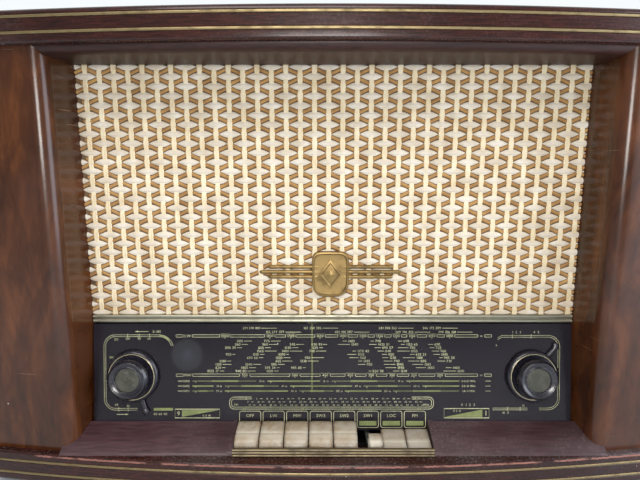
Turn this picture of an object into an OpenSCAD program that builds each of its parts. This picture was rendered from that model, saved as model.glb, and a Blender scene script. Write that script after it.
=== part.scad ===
// Table-top valve radio with a bowed wooden cabinet, woven grille, glass dial and eight piano keys.
// Millimetres. X runs to the listener's right, -Y points at the listener, +Z is up.
// The origin is the middle of the footprint, on the surface that the feet stand on.

/* [Cabinet] */
// Overall width over the mouldings
body_w = 656; // [640:1:660]
// Overall depth, from the crown of the bowed front to the rear edge
body_d = 310; // [306:1:316]
// Overall height, feet included
body_h = 420; // [418:1:424]
// Radius of the bowed front, in plan
bow_r = 2055; // [1800:5:2400]
// Height of the top moulding
top_h = 26; // [24:1:28]
// Height of the bottom moulding
base_h = 29; // [28:1:30]
// Height of the feet
foot_h = 14; // [12:1:16]
// Diameter of a foot
foot_d = 32; // [24:1:40]
// How far the mouldings overhang the pillars and sides
overhang = 7; // [5:1:9]
// Thickness of the side boards and of the pillar walls
wall = 9; // [8:0.5:12]
// Corner radius of the mouldings, in plan
corner_r = 22; // [16:1:45]
// Radius of the rounded inner edge of the pillars
bullnose_r = 12; // [9:0.5:14]

/* [Recess and grille] */
// Half width of the recess where it meets the cloth
recess_hw = 229.5; // [228:0.5:231]
// Half width of the recess at its front edge
recess_front_hw = 233.5; // [233:0.5:236]
// Distance of the cloth behind the crown of the bow
cloth_depth = 66; // [64:1:68]
// Lowest visible edge of the cloth
cloth_z0 = 159; // [158:0.5:160]
// Highest visible edge of the cloth
cloth_z1 = 387.5; // [386:0.5:388]
// Thickness of the stretched cloth
cloth_t = 1.5; // [1:0.1:2]

/* [Dial] */
// Backward lean of the dial, in degrees
dial_lean = 8; // [6:0.5:10]
// Distance of the dial's reference point behind the crown of the bow
dial_depth = 55.4; // [54:0.1:57]
// Height of the dial's reference point
dial_z = 104; // [103:0.5:105]
// Thickness of the dial glass
glass_t = 3; // [2.5:0.5:3]
// Distance of each control spindle from the middle
control_x = 190.6; // [189:0.1:192]
// Height of the control spindles on the dial, from its reference point
control_v = -3.4; // [-5:0.1:0]
// Where the AM pointer stands
am_x = -19.7; // [-30:0.1:30]
// Where the FM pointer stands
fm_x = 36; // [-60:0.5:60]

/* [Knobs] */
// Diameter of the front knobs
knob_d = 37.6; // [36:0.2:39]
// Diameter of the rear rings
ring_d = 50; // [47:0.5:51]
// Reach of a ring's pointer arm, from its axis
arm_reach = 39; // [36:0.5:39]
// Angle of the left ring's arm, anticlockwise from the listener's right
aerial_arm_angle = -70; // [-90:1:-45]
// Angle of the right ring's arm, anticlockwise from the listener's right
tone_arm_angle = 52; // [0:1:90]
// Diameter of the inner spindles
spindle_d = 6; // [5.8:0.1:6.2]
// Outer diameter of the hollow spindles
sleeve_d = 10; // [9.6:0.1:10]
// Radial running clearance of shafts and pivots
run = 0.05; // [0.03:0.01:0.08]

/* [Keys] */
// Centre distance of neighbouring keys
key_pitch = 22.57; // [22:0.01:22.6]
// Gap between neighbouring keys
key_gap = 0.7; // [0.5:0.1:1]
// Angle that a key turns through when it is pressed
key_travel = 6.5; // [5:0.5:7]
// Diameter of the rod that the keys turn on
key_rod_d = 4; // [3.6:0.1:4]

/* [Hidden] */
$fn = 48;
front_y = -body_d / 2;
rear_y = body_d / 2;
half_w = body_w / 2;
bow_cy = front_y + bow_r;
strip_proud = 0.4;
strip_t = 1.6;
strip_h = 2.6;
base_top = foot_h + base_h;
top_z = body_h - top_h;
top_strip_zs = [body_h - 5.9, body_h - 17.9];
base_strip_zs = [base_top - 8.5, base_top - 20.3];
floor_z = foot_h + 12;
cloth_y = front_y + cloth_depth;
baffle_t = 10;
baffle_y = cloth_y + cloth_t;
baffle_z0 = cloth_z0 - 2;
baffle_rear = baffle_y + baffle_t;
side_x = half_w - overhang;
side_front_y = -90;
pillar_r = bow_r - overhang;
pillar_outer_r = 16;
nose_x = recess_front_hw + bullnose_r;
nose_y = bow_cy - sqrt(pow(pillar_r - bullnose_r, 2) - pow(nose_x, 2));
cove_setback = overhang + 1;
cove_r = 4.5;
top_hollow_y = -118;
cover_y = rear_y - 7;
cover_t = 3;
woofer_z = 272;
woofer_hole_r = 88;
dial_y = front_y + dial_depth;
glass_hw = recess_hw - 1;
glass_v0 = -56;
glass_v1 = 46.4;
spindle_r = spindle_d / 2;
sleeve_r = sleeve_d / 2;
spindle_reach = 14;
plate_y = 15;
plate_t = 1.2;
plate_hw = 222;
rail_y = 11;
rail_r = 1.5;
am_rail_v = 48;
fm_rail_v = -46;
rail_hw = 158;
eye_x = -139.4;
eye_v = 16.3;
eye_r = 14.5;
drum_x = 100;
drum_v = 0;
drum_r = 43.85;
cord_y = 25;
cord_r = 0.5;
cord_gap = 0.35;
cord_top_v = 56;
post_r = 3.6;
post_left_x = -150;
post_right_x = 162;
post_v = cord_top_v - post_r - cord_gap - cord_r;
tuning_pulley_r = 5.65;
gang_y0 = 32;
gang_y1 = 74;
gang_plates = 9;
gang_pitch = 4;
gang_rest = 76;
key_count = 8;
key_w = key_pitch - key_gap;
key_rod_y = front_y + 103;
key_rod_z = 38;
key_rear_y = front_y + 46.8;
key_front_y = front_y + 17.5;
key_rod_r = key_rod_d / 2;
stub_w = 12.4;
stub_rear_y = front_y + 29;
slot_hw = key_count * key_pitch / 2 + 1.7;
chassis_y0 = -8;
chassis_y1 = 118;
chassis_hw = 215;
chassis_z1 = 74;
valve_places = [[-188, 96], [-150, 96], [-58, 96], [-18, 96], [-188, 20], [22, 96], [-18, 24]];
valve_r = 11;
valve_h = 58;
socket_h = 5;
ferrite_place = [-120, 44];
ferrite_z = 146;
ferrite_len = 138;
socket_xs = [120, 139, 158, 177, 196, 215];
socket_r = 2.05;
strip_plate_z = 62;
gland_x = -238;
gland_z = 62;
screw_zs = [62, 172, 282, 376];
screw_x = half_w - overhang - 10;
feet_places = [[-262, -98], [262, -98], [-262, 118], [262, 118]];

KEY_NODES = ["key_off", "key_lw", "key_mw", "key_sw3", "key_sw2", "key_sw1", "key_local", "key_fm"];
KEY_PRESSED = [0, 0, 0, 0, 0, 0, 1, 1];
BROKEN_KEY = 5;

// ---- shared shapes ----------------------------------------------------------------------------

function arc(c, r, a0, a1, n) =
    [for (i = [0:n]) let (a = a0 + (a1 - a0) * i / n) [c[0] + r * cos(a), c[1] + r * sin(a)]];

function reversed(list) = [for (i = [len(list) - 1:-1:0]) list[i]];

// Plan of the bowed board: a wide bow in front, rounded front corners and a straight back.
module bow_plan(inset = 0) {
    hw = half_w - inset;
    r = bow_r - inset;
    c = corner_r - inset;
    corner_y = bow_cy - sqrt(pow(r - c, 2) - pow(hw - c, 2));
    intersection() {
        translate([0, bow_cy]) circle(r, $fn = 900);
        union() {
            translate([-hw, corner_y]) square([2 * hw, rear_y - corner_y]);
            translate([-hw + c, front_y - 1]) square([2 * (hw - c), body_d]);
            for (s = [-1, 1]) translate([s * (hw - c), corner_y]) circle(c, $fn = 96);
        }
    }
}

// Band that a brass strip lies in, around the bow and both ends.
module strip_band(zs, depth) {
    for (z = zs) translate([0, 0, z - strip_h / 2]) linear_extrude(strip_h) difference() {
        bow_plan();
        bow_plan(depth);
        translate([-half_w, rear_y - 2 * depth]) square([body_w, 4 * depth]);
    }
}

// Places its children on the leaning dial: X along it, -Y out of the glass, Z up the glass.
module on_dial() {
    translate([0, dial_y, dial_z]) rotate([-dial_lean, 0, 0]) children();
}

// A cylinder along the dial's normal, from y0 (outside) to y1 (inside).
module dial_rod(x, v, r, y0, y1) {
    translate([x, y1, v]) rotate([90, 0, 0]) cylinder(r = r, h = y1 - y0);
}

// Two dimensional outline in the YZ plane, made w wide along X about the middle.
module yz_slab(points, w) {
    translate([-w / 2, 0, 0]) rotate([90, 0, 90]) linear_extrude(w) polygon(points);
}

module block(low, high) {
    translate(low) cube([for (i = [0:2]) high[i] - low[i]]);
}

// ---- cabinet ----------------------------------------------------------------------------------

module cabinet_top() color("#4a1a12") {
    difference() {
        translate([0, 0, top_z]) linear_extrude(top_h) bow_plan(strip_proud);
        strip_band(top_strip_zs, strip_t);
        block([-half_w + 26, top_hollow_y, top_z - 1], [half_w - 26, rear_y - 14, body_h - 10]);
    }
}

module cabinet_base() color("#4a1a12") {
    difference() {
        translate([0, 0, foot_h]) linear_extrude(base_h) bow_plan(strip_proud);
        strip_band(base_strip_zs, strip_t);
        block([-half_w + 26, -110, floor_z], [half_w - 26, rear_y - 14, base_top + 1]);
        block([-slot_hw, front_y + 14.5, floor_z], [slot_hw, -100, base_top + 1]);
    }
}

module side(s) {
    x0 = side_x - 12;
    difference() {
        translate([s > 0 ? x0 : -side_x, side_front_y, base_top])
            cube([12, rear_y - 4 - side_front_y, top_z - base_top]);
        block([s > 0 ? x0 - 1 : -x0 - 8, cover_y, base_top - 1], [s > 0 ? x0 + 8 : -x0 + 1, rear_y, top_z + 1]);
        for (z = screw_zs)
            translate([s * screw_x, cover_y + 1, z]) rotate([90, 0, 0]) cylinder(r = 1.5, h = 14, $fn = 24);
    }
}

module side_left() color("#5a2415") side(-1);
module side_right() color("#5a2415") side(1);

// Curved wall from the cloth, forward around the rounded edge, along the bow and round to the side.
function pillar_points() = let (
    nose_a = atan2(nose_y - bow_cy, nose_x),
    out_x = side_x - pillar_outer_r,
    out_y = bow_cy - sqrt(pow(pillar_r - pillar_outer_r, 2) - pow(out_x, 2)),
    out_a = atan2(out_y - bow_cy, out_x),
    outer = concat([[recess_hw, cloth_y]], arc([nose_x, nose_y], bullnose_r, -180, nose_a, 14),
        arc([0, bow_cy], pillar_r, nose_a, out_a, 6),
        arc([out_x, out_y], pillar_outer_r, out_a, 0, 12), [[side_x, side_front_y]]),
    inner = concat([[recess_hw + wall, cloth_y]], arc([nose_x, nose_y], bullnose_r - wall, -180, nose_a, 6),
        arc([0, bow_cy], pillar_r - wall, nose_a, out_a, 6),
        arc([out_x, out_y], pillar_outer_r - wall, out_a, 0, 8), [[side_x - wall, side_front_y]])
) concat(outer, reversed(inner));

module pillar() {
    translate([0, 0, base_top]) linear_extrude(top_z - base_top) polygon(pillar_points());
}

module pillar_right() color("#7a3a1c") pillar();
module pillar_left() color("#7a3a1c") mirror([1, 0, 0]) pillar();

// Soffit over the cloth. Its rounded front edge follows the bow, and its ends follow the pillars.
module top_cove() color("#4a2018") {
    r = bow_r - cove_setback;
    gap = 0.3;
    front_hw = recess_front_hw - gap;
    rear_hw = recess_hw - gap;
    intersection() {
        translate([0, bow_cy]) rotate([0, 0, -100]) rotate_extrude(angle = 20, $fn = 900)
            polygon(concat([[r - 80, top_z], [r - 80, cloth_z1]],
                arc([r - cove_r, cloth_z1 + cove_r], cove_r, -90, 0, 6), [[r, top_z]]));
        linear_extrude(body_h) polygon([[-front_hw, front_y], [front_hw, front_y], [front_hw, nose_y],
            [rear_hw, cloth_y - gap], [-rear_hw, cloth_y - gap], [-front_hw, nose_y]]);
    }
}

module sill() {
    sill_rear_z = 57.4;
    sill_front_z = base_top + 1.9;
    rear_lean = tan(dial_lean);
    rear = dial_y + (sill_rear_z - dial_z) * rear_lean - 0.3;
    x0 = slot_hw + 0.6;
    gap = 0.3;
    intersection() {
        translate([x0, 0, 0]) rotate([90, 0, 90]) linear_extrude(recess_front_hw - x0)
            polygon([[rear, sill_rear_z], [front_y + 15, sill_front_z], [front_y + 13.2, base_top],
                [rear - (sill_rear_z - base_top) * rear_lean, base_top]]);
        linear_extrude(body_h) polygon([[x0, front_y], [recess_front_hw - gap, front_y],
            [recess_front_hw - gap, nose_y], [recess_hw - gap, cloth_y], [x0, cloth_y]]);
    }
}

module sill_right() color("#54343a") sill();
module sill_left() color("#54343a") mirror([1, 0, 0]) sill();

module brass_strips() color("#c9a861") {
    strip_band(top_strip_zs, strip_t);
    strip_band(base_strip_zs, strip_t);
}

module baffle_board() color("#8a6a44") {
    difference() {
        block([-245, baffle_y, baffle_z0], [245, baffle_rear, top_z]);
        translate([0, baffle_rear + 1, woofer_z]) rotate([90, 0, 0]) cylinder(r = woofer_hole_r, h = baffle_t + 2);
    }
}

module grille_cloth() color("#d8c391") {
    block([-recess_hw - 4, cloth_y, baffle_z0], [recess_hw + 4, baffle_y, top_z]);
}

// Plain cushion badge with a reeded bar to each side.
module badge() {
    badge_x = -2.2;
    face_y = cloth_y - 1.6;
    module wing(z, reach) {
        translate([badge_x - reach, face_y, z]) rotate([0, 90, 0]) cylinder(r = 1.7, h = 2 * reach, $fn = 20);
    }
    color("#b08d4a") difference() {
        union() {
            for (w = [[200.2, 67], [205, 59], [195.4, 59]]) wing(w[0], w[1]);
            translate([badge_x, cloth_y - 0.1, 198]) rotate([90, 0, 0])
                linear_extrude(4.4) intersection() {
                    square([35, 44], center = true);
                    translate([0, 12]) circle(34, $fn = 64);
                }
        }
        block([-80, cloth_y, 150], [80, cloth_y + 5, 250]);
    }
}

module trim_strip() {
    module rib(z) {
        translate([-recess_hw + 0.4, cloth_y - 1.6, z]) rotate([0, 90, 0])
            cylinder(r = 1.9, h = 2 * recess_hw - 0.8, $fn = 24);
    }
    color("#cfc59a") difference() {
        union() {
            for (z = [152.2, 156.6]) rib(z);
            block([-recess_hw + 0.4, cloth_y - 1.6, 150.4], [recess_hw - 0.4, cloth_y, 158.6]);
        }
        block([-recess_hw, cloth_y, 140], [recess_hw, cloth_y + 5, 170]);
    }
}

module feet() color("#1c1a19") {
    for (p = feet_places) translate([p[0], p[1], 0]) difference() {
        union() {
            cylinder(d1 = foot_d - 4, d2 = foot_d, h = 4);
            translate([0, 0, 4]) cylinder(d = foot_d, h = foot_h - 4);
        }
        translate([0, 0, -1]) cylinder(r = 5, h = 6);
    }
}

// ---- dial -------------------------------------------------------------------------------------

module dial_glass() color("#17151c") on_dial() difference() {
    block([-glass_hw, 0, glass_v0], [glass_hw, glass_t, glass_v1]);
    for (s = [-1, 1]) dial_rod(s * control_x, control_v, sleeve_r + 2, -1, glass_t + 1);
}

module dial_backplate() color("#4b4a48") {
    on_dial() difference() {
        union() {
            block([-plate_hw, plate_y, fm_rail_v + 4], [plate_hw, plate_y + plate_t, 45]);
            for (s = [-1, 1]) dial_rod(s * control_x, control_v, 8.5, plate_y - 4, plate_y + 5);
            for (s = [-1, 1], v = [am_rail_v, fm_rail_v])
                block([s * (rail_hw - 3) - 3, rail_y - 4, v < 0 ? v - 4 : 40],
                    [s * (rail_hw - 3) + 3, plate_y + plate_t, v < 0 ? v + 8 : v + 4]);
            for (x = [post_left_x, post_right_x]) {
                dial_rod(x, post_v, post_r, plate_y, cord_y + 4);
                block([x - 5, plate_y, 40], [x + 5, plate_y + plate_t, post_v + 5]);
            }
        }
        for (s = [-1, 1]) dial_rod(s * control_x, control_v, sleeve_r + run, 0, 40);
        for (v = [am_rail_v, fm_rail_v])
            translate([-rail_hw - 5, rail_y, v]) rotate([0, 90, 0]) cylinder(r = rail_r, h = 2 * rail_hw + 10);
        dial_rod(eye_x, eye_v, eye_r + 0.7, 0, 40);
    }
    for (s = [-1, 1]) {
        block([s * 214 - 6, -91, floor_z], [s * 214 + 6, -89.4, 64]);
        block([s * 214 - 6, -91, floor_z], [s * 214 + 6, -78, floor_z + 1.5]);
    }
}

module pointer_rails() color("#b9bcc0") on_dial() {
    for (v = [am_rail_v, fm_rail_v])
        translate([-rail_hw, rail_y, v]) rotate([0, 90, 0]) cylinder(r = rail_r, h = 2 * rail_hw);
}

// Carriage that slides on a rail, with its thin pointer.
module pointer(x, rail_v, tip_v) {
    on_dial() difference() {
        union() {
            block([x - 6, rail_y - 4, rail_v - 3], [x + 6, rail_y + 3.4, rail_v + 3]);
            block([x - 0.6, rail_y - 6, min(rail_v - 3, tip_v)], [x + 0.6, rail_y - 4, max(rail_v + 3, tip_v)]);
        }
        translate([x - 7, rail_y, rail_v]) rotate([0, 90, 0]) cylinder(r = rail_r + run, h = 14);
    }
}

module am_pointer() color("#c7d06a") {
    pointer(am_x, am_rail_v, -19.3);
    on_dial() {
        block([am_x - 3, rail_y + 3.4, am_rail_v - 1], [am_x + 3, cord_y - 3, am_rail_v + 3]);
        block([am_x - 3, cord_y - 4, am_rail_v + 3], [am_x + 3, cord_y - 3, cord_top_v + 1]);
    }
}

module fm_pointer() color("#c7d06a") pointer(fm_x, fm_rail_v, -25.5);

module dial_lamps() color("#e8dcae") on_dial() {
    for (s = [-1, 1]) translate([s * 182, 9.5, 32]) rotate([0, -s * 90, 0]) {
        cylinder(r = 4.8, h = 9, $fn = 24);
        translate([0, 0, 9]) cylinder(r = 5.4, h = 7, $fn = 24);
        translate([0, 0, 16]) intersection() {
            sphere(5.4, $fn = 24);
            cylinder(r = 6, h = 6);
        }
    }
    for (s = [-1, 1]) block([s * 178 - 3, 14.2, 28], [s * 178 + 3, plate_y, 36]);
}

module magic_eye() color("#3c4a46") on_dial() {
    dial_rod(eye_x, eye_v, eye_r, 11, 66);
    dial_rod(eye_x, eye_v, eye_r - 2, 66, 70);
    dial_rod(eye_x, eye_v, eye_r + 0.5, 70, 84);
}

// ---- controls ---------------------------------------------------------------------------------

// Stepped knob with a raised rim and a recessed face.
module front_knob(x) {
    r = knob_d / 2;
    on_dial() translate([x, 0, control_v]) rotate([90, 0, 0]) difference() {
        rotate_extrude($fn = 96) polygon([[0, 9.4], [r - 2.4, 9.4], [r - 0.6, 11], [r, 13.4], [r - 0.3, 14.8],
            [r - 2, 17.2], [r - 2.8, 17.6], [r - 3.8, 17.2], [12.6, 16.4], [12, 17], [11.4, 16.8],
            [10.8, 15.8], [0, 15.8]]);
        translate([0, 0, 8]) cylinder(r = spindle_r, h = spindle_reach - 8);
    }
}

// Ring knob behind the front knob, with a long pointer arm.
module ring_knob(x, angle) {
    r = ring_d / 2;
    on_dial() translate([x, 0, control_v]) rotate([90, 0, 0]) difference() {
        union() {
            rotate_extrude($fn = 96) polygon([[0, 1.2], [r, 1.2], [r, 3.4], [r - 1, 5.4], [r - 2.2, 6.4],
                [r - 3.6, 6.4], [r - 4.4, 5.8], [12, 7.2], [10, 8.6], [0, 8.6]]);
            rotate([0, 0, angle]) {
                translate([r - 2, -2.2, 1.2]) cube([arm_reach - r - 1, 4.4, 2.4]);
                translate([arm_reach - 4, 0, 1.2]) cylinder(r = 3.6, h = 2.4, $fn = 32);
            }
        }
        cylinder(r = sleeve_r, h = 12);
    }
}

module sleeve(x) {
    on_dial() difference() {
        dial_rod(x, control_v, sleeve_r, -8, 21);
        dial_rod(x, control_v, spindle_r + run, -9, 22);
    }
}

module tuning_knob() color("#1a181b") front_knob(control_x);
module volume_knob() color("#1a181b") front_knob(-control_x);
module aerial_ring() color("#151316") ring_knob(-control_x, aerial_arm_angle);
module tone_ring() color("#151316") ring_knob(control_x, tone_arm_angle);
module aerial_sleeve() color("#a8a49c") sleeve(-control_x);
module tone_sleeve() color("#a8a49c") sleeve(control_x);

module tuning_shaft() color("#b9bcc0") on_dial() {
    dial_rod(control_x, control_v, spindle_r, -spindle_reach, 42);
    dial_rod(control_x, control_v, tuning_pulley_r, 22, 28);
}

module flywheel() color("#77756f") on_dial() difference() {
    union() {
        dial_rod(control_x, control_v, 20, 31, 38);
        dial_rod(control_x, control_v, 7, 29, 41);
    }
    dial_rod(control_x, control_v, spindle_r, 20, 50);
}

module volume_shaft() color("#b9bcc0") on_dial() dial_rod(-control_x, control_v, spindle_r, -spindle_reach, 38);

module volume_control() color("#8d8a80") on_dial() difference() {
    union() {
        dial_rod(-control_x, control_v, 12, 30, 46);
        for (s = [-1, 1]) block([-control_x + s * 14 - 2, plate_y + plate_t, control_v - 4],
            [-control_x + s * 14 + 2, 32, control_v + 4]);
        block([-control_x - 16, 30, control_v - 4], [-control_x + 16, 32, control_v + 4]);
    }
    dial_rod(-control_x, control_v, spindle_r + run, 20, 40);
}

// ---- tuning drive -----------------------------------------------------------------------------

module drive_drum() color("#c8bfa6") on_dial() difference() {
    union() {
        dial_rod(drum_x, drum_v, drum_r - cord_gap - cord_r, 22, 28);
        dial_rod(drum_x, drum_v, drum_r + 1.6, 22, 23.4);
        dial_rod(drum_x, drum_v, drum_r + 1.6, 26.6, 28);
        dial_rod(drum_x, drum_v, 9, 19, 30.4);
    }
    dial_rod(drum_x, drum_v, spindle_r + run, 15, 35);
    for (a = [45:90:315])
        translate([drum_x + 26 * cos(a), 35, drum_v + 26 * sin(a)]) rotate([90, 0, 0]) cylinder(r = 11, h = 20);
}

module gang_frame() color("#9a9c9b") on_dial() {
    difference() {
        union() {
            for (y = [gang_y0, gang_y1 - 2]) block([drum_x - 26, y, drum_v - 22], [drum_x + 26, y + 2, drum_v + 24]);
            block([drum_x - 26, gang_y0, drum_v - 24], [drum_x + 26, gang_y1, drum_v - 22]);
        }
        dial_rod(drum_x, drum_v, spindle_r + run, 20, 90);
    }
    for (i = [0:gang_plates - 2])
        translate([drum_x, gang_y0 + 7 + gang_pitch * i, drum_v]) rotate([90, 0, 0]) linear_extrude(0.8)
            difference() {
                translate([0, 3]) square([42, 38], center = true);
                circle(8);
                translate([-30, -30]) square([60, 30]);
            }
    for (s = [-1, 1]) block([drum_x + s * 21 - 1, gang_y0 + 2, 4], [drum_x + s * 21 + 1, gang_y1 - 2, 20]);
    for (s = [-1, 1]) block([drum_x + s * 24 - 2, plate_y + plate_t, -48], [drum_x + s * 24 + 2, gang_y0, -45]);
    for (s = [-1, 1]) block([drum_x + s * 24 - 2, plate_y + plate_t, -48], [drum_x + s * 24 + 2, plate_y + 2.6, -38]);
    for (s = [-1, 1]) block([drum_x + s * 24 - 2, gang_y0, -48], [drum_x + s * 24 + 2, gang_y0 + 2, -22]);
}

module gang_rotor() color("#c6c8c8") on_dial() {
    dial_rod(drum_x, drum_v, spindle_r, 18, gang_y1 + 3);
    for (i = [0:gang_plates - 1])
        translate([drum_x, gang_y0 + 5 + gang_pitch * i, drum_v]) rotate([90, 0, 0]) rotate([0, 0, -gang_rest])
            linear_extrude(0.8) union() {
                circle(5);
                intersection() {
                    circle(18);
                    translate([-20, -20]) square([40, 20]);
                }
            }
}

function polar(c, r, a) = [c[0] + r * cos(a), c[1] + r * sin(a)];

// Angle on wheel 0 where a tangent leaves for wheel 1. It keeps to one side with lean = -r1, and
// crosses over with lean = r1; s = 1 is the left of the way and s = -1 the right.
function tangent_angle(c0, r0, c1, lean, s) =
    atan2(c1[1] - c0[1], c1[0] - c0[0]) + s * acos((r0 + lean) / norm(c1 - c0));

// Points of the cord around one wheel, as [x, y, v], with y running from y0 to y1.
function cord_wrap(c, r, a0, a1, n, y0, y1) =
    [for (i = [0:n]) let (p = polar(c, r, a0 + (a1 - a0) * i / n)) [p[0], y0 + (y1 - y0) * i / n, p[1]]];

// Closed tube of radius r with 8 sides along a loop of points.
module closed_tube(route, r) {
    sides = 8;
    n = len(route);
    ring = function (i) let (
        ahead = route[(i + 1) % n] - route[(i + n - 1) % n],
        along = ahead / norm(ahead),
        across = cross(along, [0, 1, 0]) / norm(cross(along, [0, 1, 0])),
        over = cross(across, along)
    ) [for (k = [0:sides - 1]) let (a = 360 * k / sides) route[i] + r * (cos(a) * across + sin(a) * over)];
    polyhedron(
        points = [for (i = [0:n - 1]) each ring(i)],
        faces = [for (i = [0:n - 1], k = [0:sides - 1]) let (j = (i + 1) % n, m = (k + 1) % sides)
            each [[i * sides + k, j * sides + k, j * sides + m], [i * sides + k, j * sides + m, i * sides + m]]],
        convexity = 10);
}

// Endless cord: spindle, right post, left post, once around the drum, and back to the spindle.
module drive_cord() {
    post_a = [post_left_x, post_v];
    post_b = [post_right_x, post_v];
    drum = [drum_x, drum_v];
    spin = [control_x, control_v];
    rp = post_r + cord_gap + cord_r;
    rs = tuning_pulley_r + cord_gap + cord_r;
    front = cord_y - 0.8;
    back = cord_y + 0.8;
    off_spin = tangent_angle(spin, rs, post_b, -rp, -1);
    off_post = tangent_angle(post_a, rp, drum, drum_r, -1);
    off_drum = tangent_angle(drum, drum_r, spin, rs, 1);
    color("#3a3026") on_dial() closed_tube(concat(
        cord_wrap(spin, rs, off_drum - 180, off_spin, 8, back, back),
        cord_wrap(post_b, rp, off_spin, 90, 3, front, front),
        cord_wrap(post_a, rp, 90, off_post + 360, 6, front, front),
        cord_wrap(drum, drum_r, off_post + 180, off_drum - 360, 44, front, back)), cord_r);
}

// Long ferrite aerial that turns on a post behind the dial.
module ferrite_rod() color("#2c2a2b") {
    difference() {
        union() {
            translate([ferrite_place[0] - ferrite_len / 2, ferrite_place[1], ferrite_z + 7]) rotate([0, 90, 0])
                cylinder(r = 5, h = ferrite_len);
            for (s = [-1, 1]) translate([ferrite_place[0] + s * 38 - 12, ferrite_place[1], ferrite_z + 7])
                rotate([0, 90, 0]) cylinder(r = 6.6, h = 24);
            translate([ferrite_place[0], ferrite_place[1], ferrite_z - 10]) cylinder(r = 9, h = 13);
            block([ferrite_place[0] - 9, ferrite_place[1] - 7, ferrite_z + 1],
                [ferrite_place[0] + 9, ferrite_place[1] + 7, ferrite_z + 13]);
        }
        translate([ferrite_place[0], ferrite_place[1], ferrite_z - 11]) cylinder(r = 4 + run, h = 11);
    }
}

// ---- piano keys -------------------------------------------------------------------------------

function key_x(i) = (i - (key_count - 1) / 2) * key_pitch;

// Side outline of a whole key cap: flat top, rounded nose and an open underside.
function cap_points() = concat(
    [[key_rear_y, 59], [front_y + 29, 55.8]], arc([front_y + 27.4, 46], 9.9, 81, 168, 10),
    [[key_front_y, 44], [key_front_y + 3, 44], [key_front_y + 3, 49], [front_y + 28, 52.6], [key_rear_y, 55.8]]);

module key_lever(w) {
    yz_slab([[key_front_y + 3.5, 44.5], [key_front_y + 4, 49], [front_y + 28, 53.2], [key_rear_y - 2, 56.2],
        [key_rear_y - 2, 44], [key_rod_y + 3, 42], [key_rod_y + 12, 40], [key_rod_y + 12, 36],
        [key_rod_y, 34], [key_rear_y - 3, 38]], w);
}

module key(i) {
    x = key_x(i);
    hub_w = 14;
    translate([x, key_rod_y, key_rod_z]) rotate([KEY_PRESSED[i] * key_travel, 0, 0])
        translate([0, -key_rod_y, -key_rod_z]) difference() {
            union() {
                key_lever(4);
                translate([-hub_w / 2, key_rod_y, key_rod_z]) rotate([0, 90, 0]) cylinder(r = 5.2, h = hub_w);
                if (i == BROKEN_KEY) {
                    intersection() {
                        yz_slab(cap_points(), key_w);
                        block([key_w / 2 - stub_w, key_front_y, 0], [key_w / 2, stub_rear_y, 100]);
                    }
                } else {
                    yz_slab(cap_points(), key_w);
                }
            }
            translate([-hub_w, key_rod_y, key_rod_z]) rotate([0, 90, 0]) cylinder(r = key_rod_r + run, h = 2 * hub_w);
        }
}

module key_off() color("#e6dcc2") key(0);
module key_lw() color("#e6dcc2") key(1);
module key_mw() color("#e6dcc2") key(2);
module key_sw3() color("#e6dcc2") key(3);
module key_sw2() color("#e6dcc2") key(4);
module key_sw1() color("#e6dcc2") key(5);
module key_local() color("#e6dcc2") key(6);
module key_fm() color("#e6dcc2") key(7);

module key_rod() color("#b9bcc0") {
    translate([-slot_hw - 2, key_rod_y, key_rod_z]) rotate([0, 90, 0])
        cylinder(r = key_rod_r, h = 2 * slot_hw + 4);
}

module key_frame() color("#8f918f") difference() {
    union() {
        block([-slot_hw - 1.5, -98, floor_z], [slot_hw + 1.5, key_rod_y + 18, floor_z + 1.5]);
        for (s = [-1, 1])
            block([s * (slot_hw + 0.75) - 0.75, key_rod_y - 12, floor_z],
                [s * (slot_hw + 0.75) + 0.75, key_rod_y + 12, key_rod_z + 8]);
    }
    translate([-slot_hw - 5, key_rod_y, key_rod_z]) rotate([0, 90, 0])
        cylinder(r = key_rod_r, h = 2 * slot_hw + 10);
}

// Ribbed brass strip in front of the keys.
module key_threshold() color("#c9b987") {
    rib_r = 1.15;
    strip_hw = slot_hw - 2;
    difference() {
        union() {
            block([-strip_hw, front_y + 12.9, base_top], [strip_hw, front_y + 14.5, 50.6]);
            for (i = [0:2]) translate([-strip_hw, front_y + 13, base_top + 1.6 + 2.6 * i]) rotate([0, 90, 0])
                cylinder(r = rib_r, h = 2 * strip_hw, $fn = 20);
        }
        block([-slot_hw, front_y, base_top - 5], [slot_hw, front_y + 20, base_top]);
    }
}

// ---- chassis and what stands on it ------------------------------------------------------------

module chassis() color("#8b8d8a") {
    difference() {
        block([-chassis_hw, chassis_y0, floor_z], [chassis_hw, chassis_y1, chassis_z1]);
        block([-chassis_hw + 1.5, chassis_y0 + 1.5, floor_z - 1], [chassis_hw - 1.5, chassis_y1 - 1.5, chassis_z1 - 1.5]);
    }
    translate([ferrite_place[0], ferrite_place[1], chassis_z1 - 1]) cylinder(r = 7, h = ferrite_z - 10.5 - chassis_z1 + 1);
    translate([ferrite_place[0], ferrite_place[1], chassis_z1]) cylinder(r = 4, h = ferrite_z - 1 - chassis_z1);
}

// Laminated core with a bobbin that stands out of both of its faces.
module transformer(at, size, bobbin) {
    translate([at[0], at[1], chassis_z1]) {
        translate([-size[0] / 2, -size[1] / 6, 0]) cube([size[0], size[1] / 3, size[2]]);
        translate([-bobbin / 2, -size[1] / 2, size[2] * 0.18]) cube([bobbin, size[1], size[2] * 0.64]);
        for (s = [-1, 1]) translate([s * (size[0] / 2 - 4) - 4, -size[1] / 4, 0]) cube([8, size[1] / 2, 3]);
    }
}

module mains_transformer() color("#4f4a44") transformer([150, 46], [84, 66, 70], 52);
module output_transformer() color("#5b4b3a") transformer([82, 88], [50, 40, 42], 30);

module valve_sockets() color("#6b4a2c") {
    for (p = valve_places) translate([p[0], p[1], chassis_z1]) cylinder(r = valve_r + 1, h = socket_h);
}

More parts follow.
